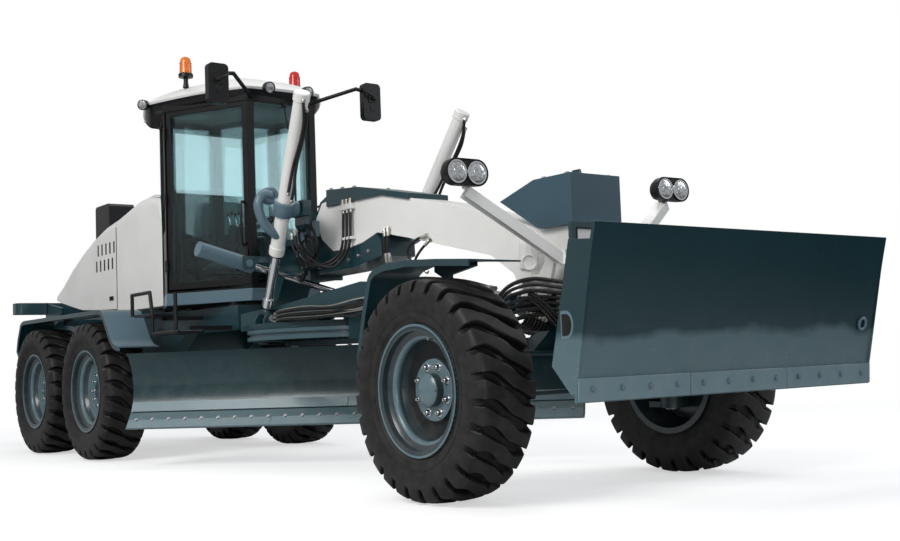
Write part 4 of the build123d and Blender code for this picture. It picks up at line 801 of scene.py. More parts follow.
# ---------------------------------------------------------------- head lamps
# A pair of round lenses sits side by side in one oval moulded housing, held out on a straight white channel
# at each side of the nose.
lamp_y, lamp_x, lamp_z = 0.910, 3.750, 1.967
housings, bezels, bowls, arms = [], [], [], []
for side in (-1, 1):
    turn = np.linspace(0, 2 * pi, 48, endpoint=False)
    oval = np.stack([0.080 * np.sign(np.cos(turn)) + 0.084 * np.cos(turn), 0.084 * np.sin(turn)], -1)
    rows = []
    for x, scale in ((-0.060, 0.0), (-0.060, 0.45), (-0.045, 0.78), (0.0, 0.96), (0.050, 1.0), (0.060, 0.985),
                     (0.060, 0.95), (0.050, 0.93), (0.050, 0.0)):
        rows.append(np.stack([np.full(48, lamp_x + x), side * lamp_y + oval[:, 0] * scale,
                              lamp_z + oval[:, 1] * scale], -1))
    housings.append((np.concatenate(rows), grid_faces(len(rows), 48, ring_v=True)))
    for dy in (-0.076, 0.076):
        middle = (lamp_x + 0.048, side * lamp_y + dy, lamp_z)
        bezels.append(turned([(0, 0.072), (0.006, 0.0745), (0.012, 0.072), (0.012, 0.063), (0.002, 0.061)],
                             middle, (1, 0, 0), 32))
        bowls.append(turned([(0.003, 0.064), (0.009, 0.060), (0.0125, 0.042), (0.0135, 0.02), (0.0135, 0)],
                            middle, (1, 0, 0), 32))
        bowls.append(turned([(0.012, 0.0), (0.012, 0.028), (0.0155, 0.026), (0.017, 0.0)], middle, (1, 0, 0),
                            24))
    foot, tip = np.array([3.930, side * 0.250, 1.455]), np.array([3.735, side * 0.860, 1.880])
    reach = unit(tip - foot)
    ahead_of = unit(np.cross(reach, (0, 0, 1)) * -side)
    rise = np.cross(ahead_of, reach)
    rise *= np.sign(rise[2])
    long = np.linalg.norm(tip - foot)
    for (a0, b0), (a1, b1) in (((-0.030, 0.0), (0.030, 0.006)), ((0.022, -0.060), (0.030, 0.0)),
                               ((-0.030, -0.060), (-0.022, 0.0))):
        arms.append(plate([(0, a0), (long, a0 * 1.5), (long, a1 * 1.5), (0, a1)], foot + rise * b0, reach,
                          ahead_of, (b1 - b0) * np.sign(np.cross(reach, ahead_of) @ rise)))
    arms.append(block((3.900, min(side * 0.168, side * 0.290), 1.405),
                      (3.975, max(side * 0.168, side * 0.290), 1.465)))
    arms.append(pipe([tip - reach * 0.02, tip + (0, 0, 0.012),
                      (lamp_x - 0.01, side * (lamp_y - 0.02), lamp_z - 0.080)], 0.017, 12))
joined("lamp_arms", arms, white, "front_frame", 0.002)
lamp_shells = joined("lamp_housings", housings, black, "front_frame")
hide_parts("headlamps")
joined("lamp_bezels", bezels, silver, "front_frame")
joined("lamp_glass", bowls, lens, "front_frame")

# ---------------------------------------------------------------- lift and side-swing cylinders
# Double-acting rams: a white barrel hung in a trunnion collar, a gland ring and a wiper seal,
# and a hard-chromed rod that ends in a ball socket.
hose_rubber = painted("hose_rubber", (0.007, 0.007, 0.008), rough=0.42, dust=0.25, coat=0.0, grain=420,
                      wear=0.0, shine=0.4)
fitting = painted("zinc_fitting", (0.55, 0.54, 0.50), rough=0.30, dust=0.2, metal=1.0, coat=0.0, wear=0.0)
for node in ("swing_barrel", "dozer_barrel"):
    dressed(node, pale_teal, 0.003)
for node in ("lift_rod_left", "lift_rod_right", "swing_rod", "dozer_rod"):
    dressed(node, chrome, 0.001)


lift_top, lift_eye = np.array([1.641, 0.776, 2.924]), np.array([0.591, 0.565, 1.292])
lift_line = unit(lift_top - lift_eye)
barrel_end = lift_eye + lift_line * ((1.750 - lift_eye[2]) / lift_line[2])
trunnion = lift_eye + lift_line * ((2.100 - lift_eye[2]) / lift_line[2])


def helix(points, radius, pitch, wire):
    """Spiral guard: a wire wound round the smooth line through the points, one turn to each pitch."""
    line = pipe(points, 0.0, 3, 16)[0].reshape(-1, 3, 3)[1:-1, 0]
    length = np.concatenate([[0], np.cumsum(np.linalg.norm(np.diff(line, axis=0), axis=1))])
    s = np.arange(0, length[-1], pitch / 8)
    core = np.stack([np.interp(s, length, line[:, k]) for k in range(3)], -1)
    along = unit(np.gradient(core, axis=0))
    side = unit(np.cross(along, (0.31, 0.92, 0.24)))
    turn = (s / pitch * 2 * pi)[:, None]
    wound = core + radius * (np.cos(turn) * side + np.sin(turn) * np.cross(along, side))
    step = unit(np.gradient(wound, axis=0))
    out = unit(wound - core)
    corner = np.arange(4) * pi / 2
    cosine, sine = np.cos(corner)[None, :, None], np.sin(corner)[None, :, None]
    tube = wound[:, None] + wire * (cosine * out[:, None] + sine * np.cross(step, out)[:, None])
    tube = np.concatenate([np.repeat(wound[:1, None], 4, 1), tube, np.repeat(wound[-1:, None], 4, 1)])
    return tube.reshape(-1, 3), grid_faces(len(tube), 4, ring_v=True)


for side, name in ((-1, "right"), (1, "left")):
    flip = np.array([1, side, 1])
    mouth, tail, body = barrel_end * flip, lift_top * flip, "lift_barrel_" + name
    axis, length = unit(tail - mouth), np.linalg.norm(tail - mouth)
    barrel_rows = [(0.0, 0.040), (0.0, 0.060), (0.012, 0.064), (0.070, 0.064), (0.075, 0.058),
                   (length - 0.075, 0.058), (length - 0.070, 0.066), (length - 0.008, 0.066), (length, 0.058),
                   (length + 0.001, 0)]
    tube = joined("lift_tube_" + name, [turned(barrel_rows, mouth, axis, 40)], white, body)
    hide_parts(body)
    swing = np.linalg.norm(trunnion * flip - mouth)
    collar_rows = [(swing - 0.060, 0.058), (swing - 0.060, 0.080), (swing - 0.050, 0.086),
                   (swing + 0.050, 0.086), (swing + 0.060, 0.080), (swing + 0.060, 0.058)]
    pin_rows = [(0.060, 0), (0.060, 0.058), (0.118, 0.058), (0.122, 0.052), (0.122, 0)]
    collar = [turned(collar_rows, mouth, axis, 40),
              turned(pin_rows, trunnion * flip, (0.203, side * -0.979, 0.003), 28)]
    joined("lift_collar_" + name, collar, pale_teal, body, 0.002)
    joined("lift_wiper_" + name, [turned([(-0.018, 0.0390), (-0.016, 0.047), (0.001, 0.050), (0.001, 0.0390)],
                                         mouth, axis, 28)], rubber_trim, body)
    ahead_of = unit(np.array([0.85, side * 0.12, 0.0]) - axis * (axis @ np.array([0.85, side * 0.12, 0.0])))
    beside = np.cross(axis, ahead_of)
    hoses, guards, nuts = [], [], []
    for k, (start, end) in enumerate(((length - 0.045, swing + 0.16), (length - 0.12, swing + 0.10))):
        way = []
        for share in np.linspace(0, 1, 7):
            place = mouth + axis * (start + (end - start) * share)
            away = 0.066 + 0.050 * sin(pi * share) ** 0.5 + 0.012 * k
            way.append(place + ahead_of * away + beside
                       * (0.016 * sin(2 * pi * share + k) + 0.020 * (k - 0.5)))
        hoses.append(pipe(way, 0.0115, 10))
        guards.append(helix(way, 0.0125, 0.016, 0.0022))
        for place in (way[0], way[-1]):
            nuts.append(turned([(-0.030, 0), (-0.030, 0.017), (0.012, 0.017), (0.016, 0.014), (0.016, 0)],
                               place, ahead_of, 6))
    joined("lift_hoses_" + name, hoses + guards, hose_rubber, body)
    joined("lift_ports_" + name, nuts, fitting, body)
    # Cast half of the trunnion yoke: a round boss, and a curved arm that carries it down to the saddle.
    boss = np.array([1.020, side * 0.722, 2.215])
    arm = [(1.000, side * 0.722, 2.215), (1.000, side * 0.800, 2.215), (1.000, side * 0.838, 2.125),
           (1.000, side * 0.800, 2.000), (1.000, side * 0.715, 1.915), (0.990, side * 0.640, 1.880)]
    joined("trunnion_yoke_" + name, [
        pipe(arm, 0.038, 14),
        turned([(-0.06, 0), (-0.06, 0.070), (0.0, 0.072), (0.014, 0.060), (0.014, 0.030), (0.006, 0.026),
                (0.006, 0)], boss - (0.02, 0, 0), (1, 0, 0), 32)],
           pale_teal, "front_frame", 0.003)
swing_mouth, swing_tail = np.array([0.670, -0.7367, 1.6730]), np.array([0.670, -1.2153, 1.8014])
swing_rod_radius = 0.0285
swing_wiper = turned([(-0.016, swing_rod_radius + 0.0005), (-0.014, swing_rod_radius + 0.010),
                      (0.001, swing_rod_radius + 0.013),
                      (0.001, swing_rod_radius + 0.0005)], swing_mouth, unit(swing_tail - swing_mouth), 28)
joined("swing_ram_wiper", [swing_wiper], rubber_trim, "swing_barrel")

# ---------------------------------------------------------------- hydraulic plumbing on the front frame
# Steel-braided rubber hoses run from a manifold on the boom's flank down to the rams and the turntable;
# each ends in a swaged, zinc-plated ferrule and a hexagon nut.
def hose_run(name, body, runs, radius=0.013, cuffs=True):
    """Bundle of hoses, each along its own smooth line, with a ferrule and a nut at both ends."""
    hoses, ends = [], []
    for run in runs:
        run = np.asarray(run, float)
        hoses.append(pipe(run, radius, 10))
        for end, other in ((run[0], run[1]), (run[-1], run[-2])):
            facing = unit(other - end)
            ends.append(turned([(-0.006, 0), (-0.006, 1.1 * radius), (0.0, 1.28 * radius),
                                (0.030, 1.28 * radius), (0.050, 1.15 * radius),
                                (0.052, 0)], end, facing, 14))
            ends.append(turned([(-0.022, 0), (-0.022, 1.45 * radius), (-0.004, 1.45 * radius), (-0.004, 0)],
                               end, facing, 6))
    joined(name, hoses, hose_rubber, body)
    if cuffs:
        joined(name + "_ends", ends, fitting, body)


side_y = -(boom_half + 0.022)
risers = [[(x, side_y, 2.11), (x, side_y - 0.006, 1.98), (x - 0.004, side_y - 0.010, 1.86),
           (x - 0.03, side_y - 0.03, 1.74),
           (x - 0.12, side_y - 0.10, 1.665 - 0.02 * k), (x - 0.30, side_y - 0.17, 1.66 + 0.01 * k),
           (x - 0.47, side_y - 0.20, 1.80 + 0.02 * k), (x - 0.58, side_y - 0.16, 1.93 + 0.03 * k)]
          for k, x in enumerate((1.245, 1.300, 1.355))]
hose_run("boom_risers", "front_frame", risers, 0.0115)
clamp = [block((1.205, side_y - 0.022, 2.085), (1.395, side_y + 0.024, 2.130)),
         block((1.215, side_y - 0.020, 1.840), (1.385, side_y + 0.022, 1.862))]
joined("riser_clamps", clamp, white, "front_frame", 0.003)
crown = [turned([(0, 0), (0, 0.020), (0.018, 0.020), (0.020, 0.015), (0.045, 0.015), (0.047, 0)],
                (1.245 + 0.055 * k, side_y - 0.004, 2.128), (0, 0, 1), 12) for k in range(3)]
joined("riser_elbows", crown, fitting, "front_frame")
loops = []
for k in range(5):
    x0, z0 = 0.93 - 0.055 * k, 1.995 - 0.045 * k
    loops.append([(x0, -0.268, z0), (x0 + 0.05, -0.330, z0 + 0.01),
                  (x0 + 0.15, -0.375 - 0.008 * k, z0 - 0.07), (x0 + 0.17, -0.36, z0 - 0.19),
                  (x0 + 0.08, -0.33, z0 - 0.27), (x0 - 0.06, -0.30, z0 - 0.25)])
hose_run("heel_loops", "front_frame", loops, 0.0115)
blocks = [block((0.66, -0.315, 1.70), (0.80, -0.262, 1.80)),
          block((0.84, -0.318, 1.90), (0.98, -0.262, 2.03)),
          block((0.68, -0.300, 1.86), (0.78, -0.262, 1.96))]
joined("heel_valves", blocks, pale_teal, "front_frame", 0.004)
pair = [[(1.835 + 0.045 * k, side_y, 1.86), (1.835 + 0.045 * k, side_y - 0.006, 1.79),
         (1.835 + 0.045 * k, side_y - 0.006, 1.70),
         (1.838 + 0.045 * k, side_y + 0.008, 1.63)] for k in range(2)]
hose_run("boom_pair", "front_frame", pair, 0.0115)
curl = [[(2.36, side_y + 0.01, 1.76), (2.27, side_y - 0.02, 1.735), (2.18, side_y - 0.03, 1.67),
         (2.19, side_y - 0.02, 1.60), (2.26, side_y, 1.545),
         (2.33, side_y + 0.02, 1.50)],
        [(2.40, side_y + 0.01, 1.72), (2.34, side_y - 0.02, 1.66), (2.28, side_y - 0.03, 1.60),
         (2.22, side_y, 1.56)]]
hose_run("boom_curl", "front_frame", curl, 0.010)
nose_runs = []
for k in range(7):
    drop, out = 0.035 * k, 0.02 * (k % 3)
    nose_runs.append([(4.044, -0.235 - out, 1.28 - drop), (3.92, -0.29 - 0.5 * out, 1.30 - drop),
                      (3.70, -0.325 - 0.5 * out, 1.335 - 1.1 * drop),
                      (3.46, -0.315 - 0.5 * out, 1.31 - 1.1 * drop),
                      (3.33 + 0.02 * k, -0.32, 1.22 - 0.8 * drop),
                      (3.36 + 0.03 * k, -0.29, 1.11 - 0.5 * drop),
                      (3.47 + 0.03 * k, -0.24, 1.05 - 0.3 * drop),
                      (3.50 + 0.03 * k, -0.18, 1.16 - 0.3 * drop)])
for k in range(3):
    nose_runs.append([(4.044, -0.26, 1.02 - 0.05 * k), (3.93, -0.31, 1.07 - 0.04 * k),
                      (3.80, -0.335, 1.18 - 0.03 * k), (3.68, -0.33, 1.24 - 0.02 * k),
                      (3.58, -0.25, 1.21), (3.55, -0.18, 1.18 + 0.03 * k)])
hose_run("nose_hoses", "front_frame", nose_runs, 0.0115)
joined("nose_guards", [helix(run, 0.0128, 0.020, 0.0026) for run in nose_runs[:7:2] + nose_runs[7:]],
       hose_rubber, "front_frame")
joined("nose_manifold", [block((3.40, -0.205, 1.13), (3.74, -0.168, 1.24))], black, "front_frame",
       0.004)

# ---------------------------------------------------------------- front axle and fenders
# A plate-built arched beam carries leaning yokes on pins at its ends; forged knuckles turn on the kingpins.
# The fenders are rolled sheet with a folded lip, on a bent bracket from each knuckle.
for node in ("front_axle", "lean_yoke_left", "lean_yoke_right", "knuckle_left", "knuckle_right", "tie_rod",
             "lean_bar"):
    dressed(node, teal, 0.004)
for side in ("left", "right"):
    dressed("front_fender_" + side, teal, 0.003)
front_axle_x, lean_y, lean_z, kingpin_y = 3.675, 0.840, 0.600, 0.940
pin_ends = []
for side in (-1, 1):
    for x, face in ((front_axle_x - 0.095, -1), (front_axle_x + 0.095, 1)):
        pin_ends.append(turned([(0, 0), (0, 0.046), (0.010, 0.046), (0.014, 0.040), (0.014, 0)],
                               (x, side * lean_y, lean_z), (face, 0, 0), 24))
        pin_ends += bolts([(x + face * 0.013, side * lean_y, lean_z)], (face, 0, 0), 0.014)
    pin_ends += bolts([(front_axle_x + 0.2005, side * 0.10, z) for z in (1.03, 1.075)], (1, 0, 0), 0.014)
joined("axle_pins", pin_ends, steel, "front_frame")
for side, name in ((-1, "right"), (1, "left")):
    caps = []
    for z, face in ((lean_z + 0.280, 1), (lean_z - 0.150, -1)):
        caps.append(turned([(0, 0), (0, 0.050), (0.010, 0.050), (0.018, 0.036), (0.018, 0)],
                           (front_axle_x, side * kingpin_y, z), (0, 0, face), 24))
    joined("kingpin_caps_" + name, caps, steel, "lean_yoke_" + name)

# ---------------------------------------------------------------- tyres
# Six grader tyres of black rubber, moulded in one piece: smooth beads and bulged sidewalls, and deep
# S-shaped bars right across the tread whose ends run down over the shoulders.  They are pressed on the
# rims' beads.
bars = 27
groove_depth = 0.046
# Half of the tyre's section from bead to crown: distance from the wheel's middle plane, radius.
section = np.array([(0.172, 0.377), (0.173, 0.398), (0.188, 0.420), (0.203, 0.460), (0.2125, 0.500),
                    (0.215, 0.540),
                    (0.2125, 0.575), (0.206, 0.606), (0.1985, 0.628), (0.190, 0.6435), (0.176, 0.652),
                    (0.150, 0.6575), (0.110, 0.6615), (0.060, 0.6642), (0.020, 0.665)])
run = np.concatenate([[0], np.cumsum(np.hypot(*np.diff(section, axis=0).T))])
steps = np.unique(np.concatenate([np.linspace(0, run[5], 9), np.linspace(run[5], run[-1], 20)]))
half = np.stack([np.interp(steps, run, section[:, k]) for k in (0, 1)], -1)
profile = np.concatenate([half * (1, 1), half[::-1] * (-1, 1)])
along = np.gradient(profile, axis=0)
inward = unit(np.stack([along[:, 1], -along[:, 0]], -1))
inward *= -np.sign((inward * (profile - (0, 0.5))).sum(1))[:, None]


def tread(centre, outer_side):
    """Tyre: the section turned about the axle.  Bar k sits at angle (k + phase) pitches, slid round by half a
    pitch times the sine of the place across the tread; between two bars the surface sinks along the
    section's normal, with steep walls, by a depth that fades out down the sidewall."""
    place = np.clip(profile[:, 0] / 0.19, -1.12, 1.12)
    slide = -0.55 * np.sin(pi / 2 * np.clip(place, -1, 1)) * outer_side
    edge = np.abs(place)
    half_gap = 0.080 + 0.150 * np.clip(1 - (2 * np.minimum(edge, 1) - 1) ** 2, 0, 1) + 0.05 * (edge > 0.97)
    fade = np.clip((profile[:, 1] - 0.565) / 0.055, 0, 1)
    fade = fade * fade * (3 - 2 * fade)
    depth = groove_depth * fade * (0.45 + 0.55 * np.clip(edge / 0.25, 0, 1))
    # Across one pitch: gap floor, wall, bar top with worn edges, wall, gap floor.
    top = np.linspace(0, 1, 7)
    lo = half_gap[None, :]
    phase = np.concatenate([lo * np.array([0.0, 0.72, 0.9])[:, None], lo + 0.012, lo + 0.05,
                            lo + 0.05 + (1 - 2 * lo - 0.10) * top[1:-1, None], 1 - lo - 0.05, 1 - lo - 0.012,
                            1 - lo * np.array([0.9, 0.72])[:, None]])
    sink = np.concatenate([np.array([1, 1, 0.93]), [0.10], [0.0], np.zeros(5), [0.0], [0.10],
                           np.array([0.93, 1])])
    count = len(sink)
    turns = (np.arange(bars)[:, None, None] + phase[None] + slide[None, None]) / bars * 2 * pi
    turns = turns.reshape(bars * count, -1)
    sunk = np.tile(sink, bars)[:, None] * depth[None]
    # Painted shade: each point gets a darkening value, highest on the groove floors and where grooves are
    # deepest.
    shade = np.tile(sink, bars)[:, None] * np.clip(depth[None] / groove_depth * 1.6, 0, 1)
    y = profile[None, :, 0] + inward[None, :, 0] * sunk
    r = profile[None, :, 1] + inward[None, :, 1] * sunk
    grid = np.stack([centre[0] + r * np.cos(turns), centre[1] + y * outer_side,
                     centre[2] + r * np.sin(turns)], -1)
    return (grid.reshape(-1, 3), grid_faces(bars * count, len(profile), ring_u=True)), shade.ravel()


rubber = bpy.data.materials.new("tyre_rubber")
rubber.use_nodes = True
n, l = rubber.node_tree.nodes, rubber.node_tree.links
coord = n.new("ShaderNodeTexCoord")
mottle = n.new("ShaderNodeTexNoise")
mottle.inputs["Scale"].default_value = 14
mottle.inputs["Detail"].default_value = 8
l.new(coord.outputs["Object"], mottle.inputs["Vector"])
ramp = n.new("ShaderNodeValToRGB")
ramp.color_ramp.elements[0].position, ramp.color_ramp.elements[0].color = 0.35, (0.0085, 0.0083, 0.0084, 1)
ramp.color_ramp.elements[1].position, ramp.color_ramp.elements[1].color = 0.75, (0.027, 0.0252, 0.0242, 1)
l.new(mottle.outputs["Fac"], ramp.inputs["Fac"])
# Painted shade: the point attribute from the tread darkens the rubber almost to black down in the grooves.
groove_shade, shaded = n.new("ShaderNodeAttribute"), n.new("ShaderNodeMix")
groove_shade.attribute_name = "groove_shade"
shaded.data_type = "RGBA"
shaded.inputs["B"].default_value = (0.0012, 0.0012, 0.0012, 1)
l.new(groove_shade.outputs["Fac"], shaded.inputs["Factor"])
l.new(ramp.outputs["Color"], shaded.inputs["A"])
l.new(shaded.outputs["Result"], n["Principled BSDF"].inputs["Base Color"])
n["Principled BSDF"].inputs["Roughness"].default_value = 0.50
n["Principled BSDF"].inputs["Specular IOR Level"].default_value = 0.30
pores = n.new("ShaderNodeTexNoise")
pores.inputs["Scale"].default_value = 160
pores.inputs["Detail"].default_value = 4
l.new(coord.outputs["Object"], pores.inputs["Vector"])
skin = n.new("ShaderNodeBump")
skin.inputs["Strength"].default_value = 0.25
skin.inputs["Distance"].default_value = 0.003
l.new(pores.outputs["Fac"], skin.inputs["Height"])
l.new(skin.outputs[0], n["Principled BSDF"].inputs["Normal"])

wheel_places = {}
for corner in ("front_left", "front_right", "middle_left", "middle_right", "rear_left", "rear_right"):
    low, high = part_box("tyre_" + corner)
    centre = np.array((low + high) / 2)
    outer_side = 1 if centre[1] > 0 else -1
    wheel_places[corner] = (centre, outer_side)
    form, shade = tread(centre, outer_side)
    shapes = [form]
    # Moulded guard rings low on both sidewalls.
    for y_sign in (-1, 1):
        for radius, wide, y in ((0.428, 0.0040, 0.1885), (0.470, 0.0035, 0.2035)):
            ring = [(y - 0.004, radius + wide), (y + 0.0035, radius + wide * 0.5),
                    (y + 0.0035, radius - wide * 0.5), (y - 0.006, radius - wide)]
            shapes.append(turned(ring, centre, (0, y_sign, 0), 72))
    shade_tones = np.concatenate([shade, np.zeros(sum(len(shape[0]) for shape in shapes[1:]))])
    piece = joined("tread_" + corner, shapes, rubber, "wheel_" + corner, shade_tones=shade_tones)
    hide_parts("tyre_" + corner)

# ---------------------------------------------------------------- wheels
# Three-piece steel rims in blue-grey enamel: an outer flange, a lock ring in the gutter, and a deep pressed
# disc with a dusty well.  The rim's body is painted near-black and the front wells black, both painted
# shade of the deep dish; the lock ring, dish ring and hubs keep the blue-grey.  The front hubs stand out in a
# stepped cap inside eight studs; nuts are bright zinc.
rim_grey = painted("rim_paint", (0.095, 0.165, 0.195), rough=0.30, dust=0.25, coat=0.3)
# Painted shade: the rim's body and the front wells take these darker tones in place of the blue-grey enamel.
rim_painted_shade = painted("rim_shade_paint", (0.018, 0.034, 0.043), rough=0.30, dust=0.15, coat=0.3)
well_painted_shade = painted("rim_well_shade_paint", (0.005, 0.008, 0.010), rough=0.45, dust=0.12, coat=0.0, shine=0.3)
for corner, (centre, side) in wheel_places.items():
    body = "wheel_" + corner
    front = corner.startswith("front")
    dressed("rim_" + corner, rim_painted_shade, 0.003)
    outward_y = (0, side, 0)
    lock_ring = [turned([(0.170, 0.372), (0.1885, 0.380), (0.1905, 0.386), (0.1885, 0.3935), (0.170, 0.3945)],
                        centre, outward_y, 72),
                 turned([(0.082, 0.3070), (0.088, 0.3015), (0.102, 0.2985), (0.115, 0.3020), (0.124, 0.3110),
                         (0.127, 0.3230), (0.122, 0.3225), (0.106, 0.3090)], centre, outward_y, 72)]
    joined("lock_ring_" + corner, lock_ring, rim_grey, body)
    disc = 0.016 if front else 0.030
    well = [(disc + 0.0090, 0.190 if front else 0.125), (disc + 0.0092, 0.262), (disc + 0.0232, 0.2865)]
    joined("rim_well_" + corner, [turned(well, centre, outward_y, 72)], well_painted_shade
           if front else rim_grey, body)
    if front:
        angles = radians(22.5) + np.arange(8) * 2 * pi / 8
        radius, face, size = 0.145, 0.0525, 0.0165
    else:
        angles = np.arange(12) * 2 * pi / 12
        radius, face, size = 0.170, 0.0385, 0.0125
    places = centre + np.stack([radius * np.cos(angles), np.full(len(angles), side * face),
                                radius * np.sin(angles)], -1)
    nut = turned([(0, 0), (0, 1.5 * size), (0.003, 1.5 * size), (0.004, 1.12 * size), (0.020, 1.12 * size),
                  (0.025, 0.95 * size),
                  (0.025, 0.55 * size), (0.036, 0.5 * size), (0.037, 0)], (0, 0, 0), outward_y, 12)
    joined("wheel_nuts_" + corner, [repeated(nut, places)], silver, body)
    if front:
        joined("hub_flange_" + corner, [turned([(0.0515, 0.186), (0.0532, 0.183), (0.0535, 0.180),
                                                (0.0535, 0.095), (0.0515, 0.094)],
                                               centre, outward_y, 48)], rim_grey, body)
        cap = [turned([(0.090, 0.090), (0.096, 0.099), (0.104, 0.099), (0.114, 0.086), (0.124, 0.060),
                       (0.129, 0.030), (0.130, 0)], centre, outward_y, 48)]
        cap_angles = np.arange(6) * 2 * pi / 6
        cap_places = centre + np.stack([0.088 * np.cos(cap_angles), np.full(6, side * 0.108),
                                        0.088 * np.sin(cap_angles)], -1)
        joined("hub_cap_" + corner, cap + bolts(cap_places, outward_y, 0.007), rim_grey, body)
    valve_angle = radians(70)
    stem = centre + np.array([0.318 * cos(valve_angle), side * 0.118, 0.318 * sin(valve_angle)])
    joined("valve_" + corner, [turned([(-0.01, 0), (-0.01, 0.005), (0.030, 0.005), (0.032, 0.0065),
                                       (0.044, 0.0065), (0.045, 0)], stem,
                                      outward_y, 12)], fitting, body)

# ---------------------------------------------------------------- drawbar and turntable
# A cranked frame of two box beams hangs the toothed ring; wear pads and hooked shoes guide it, and a
# hydraulic motor on a gearbox turns it.  Hoses and steel lines lie along the deck and its right side.
circle_x, circle_z, ring_inner = 0.875, 1.050, 0.640
dressed("drawbar", teal, 0.004)
circle_blue = painted("circle_paint", (0.045, 0.095, 0.115), rough=0.32, dust=0.25)
dressed("circle", circle_blue, 0.003)
teeth = 72
tooth_angle = np.arange(teeth) * 2 * pi / teeth
tooth_outline = np.array([(0.0, -0.020), (-0.030, -0.011), (-0.030, 0.011), (0.0, 0.020)])
outline = np.stack([ring_inner + tooth_outline[:, 0] + 0.002, tooth_outline[:, 1]], -1)
cosines, sines = np.cos(tooth_angle)[:, None], np.sin(tooth_angle)[:, None]
plan = np.stack([circle_x + outline[:, 0] * cosines - outline[:, 1] * sines,
                 outline[:, 0] * sines + outline[:, 1] * cosines], -1)
low_ring = np.concatenate([plan, np.full((teeth, 4, 1), circle_z + 0.012)], -1)
tooth_points = np.concatenate([low_ring, low_ring + (0, 0, 0.060)], 1).reshape(-1, 3)
box_faces = np.array([(3, 2, 1, 0), (4, 5, 6, 7), (0, 1, 5, 4), (1, 2, 6, 5), (2, 3, 7, 6), (3, 0, 4, 7)])
tooth_faces = (box_faces[None] + 8 * np.arange(teeth)[:, None, None]).reshape(-1, 4)
joined("circle_teeth", [(tooth_points, tooth_faces)], teal, "circle")
drive_x = circle_x + 0.520
motor = [turned([(0, 0), (0, 0.105), (0.022, 0.105), (0.026, 0.092), (0.115, 0.092), (0.135, 0.070),
                 (0.135, 0)], (drive_x, 0, 1.195), (0, 0, 1), 40),
         turned([(0.13, 0), (0.13, 0.055), (0.30, 0.055), (0.315, 0.045), (0.315, 0)], (drive_x, 0, 1.195),
                (0, 0, 1), 32), block((drive_x - 0.05, -0.085, 1.385), (drive_x + 0.05, -0.045, 1.465))]
joined("circle_motor", motor, black, "drawbar")
flange_angle = np.arange(10) * 2 * pi / 10
flange = np.stack([drive_x + 0.097 * np.cos(flange_angle), 0.097 * np.sin(flange_angle), np.full(10, 1.217)],
                  -1)
deck_bolts = bolts(flange, (0, 0, 1), 0.008)
for angle in (158, 202):
    place = np.array([circle_x + 0.76 * cos(radians(angle)), 0.76 * sin(radians(angle)), 1.1955])
    side_step = np.array([-sin(radians(angle)), cos(radians(angle)), 0])
    deck_bolts += bolts([place + side_step * t for t in (-0.06, 0.0, 0.06)], (0, 0, 1), 0.014)
for angle in (22, 338):
    place = np.array([circle_x + 0.76 * cos(radians(angle)), 0.76 * sin(radians(angle)), 1.3405])
    side_step = np.array([-sin(radians(angle)), cos(radians(angle)), 0])
    deck_bolts += bolts([place + side_step * t for t in (-0.06, 0.0, 0.06)], (0, 0, 1), 0.014)
    deck_bolts += bolts([place + side_step * t + (0.068 * cos(radians(angle)), 0.068 * sin(radians(angle)),
                                                  -0.06 - 0.07 * k)
                         for t in (-0.06, 0.06) for k in range(2)],
                        (cos(radians(angle)), sin(radians(angle)), 0), 0.013)
joined("drawbar_bolts", deck_bolts, steel, "drawbar")
ear_pins = []
for side in (-1, 1):
    for x, face in ((0.500, -1), (0.677, 1)):
        ear_pins.append(turned([(-0.02, 0), (-0.02, 0.019), (0.004, 0.019), (0.004, 0.034), (0.014, 0.034),
                                (0.016, 0.028), (0.016, 0)], (x, side * 0.565, 1.232), (face, 0, 0), 24))
joined("ear_pins", ear_pins, steel, "drawbar")
deck_lines = []
for k in range(4):
    y = -0.20 + 0.035 * k
    deck_lines.append([(0.47, y, 1.212), (0.60, y - 0.02, 1.35 + 0.012 * k), (0.95, y - 0.06, 1.42),
                       (1.35, y * 0.9, 1.45),
                       (1.75, y * 0.8, 1.44 + 0.012 * k), (2.15, y * 0.62, 1.46), (2.60, y * 0.5, 1.41),
                       (2.95, y * 0.4, 1.33)])
hose_run("drawbar_hoses", "drawbar", deck_lines, 0.013)
side_lines = []
for k in range(6):
    y, z = -0.585 + 0.012 * (k % 2), 1.205 + 0.017 * k
    side_lines.append([(0.72, y + 0.03, z), (0.90, y, z + 0.008), (1.15, y + 0.05, z + 0.004 * k),
                       (1.45, y + 0.10, z + 0.006), (1.75, y + 0.15, z + 0.02 * (k % 3)),
                       (1.95, y + 0.22, z + 0.05)])
hose_run("drawbar_side_hoses", "drawbar", side_lines[::2], 0.0105)
joined("drawbar_side_tubes", [pipe(way, 0.007, 10) for way in side_lines[1::2]], fitting, "drawbar")
swivel = [turned([(0, 0), (0, 0.085), (0.05, 0.085), (0.055, 0.060), (0.16, 0.060), (0.165, 0.045),
                  (0.20, 0.045), (0.20, 0)], (0.46, -0.12, 1.195), (0, 0, 1), 32)]
joined("deck_swivel", swivel, black, "drawbar", 0.003)

# ---------------------------------------------------------------- blade carrier and moldboard
# The moldboard is a rolled plate of wear steel with two straight cutting edges and end bits bolted along
# its foot; it slides on the carrier's jaws, which hang on the ring's arms.
blade_turn = radians(41 - 90)
blade_long, blade_shift = 3.960, 0.024
across_blade = np.array([cos(blade_turn), sin(blade_turn), 0])
along_blade = np.array([-sin(blade_turn), cos(blade_turn), 0])


def on_blade(x, y, z):
    """Machine place of a point in the blade's own frame: x ahead of its face, y along it, z up."""
    return np.array([circle_x, 0, 0]) + x * across_blade + (y + blade_shift) * along_blade + np.array(
        [0, 0, z])


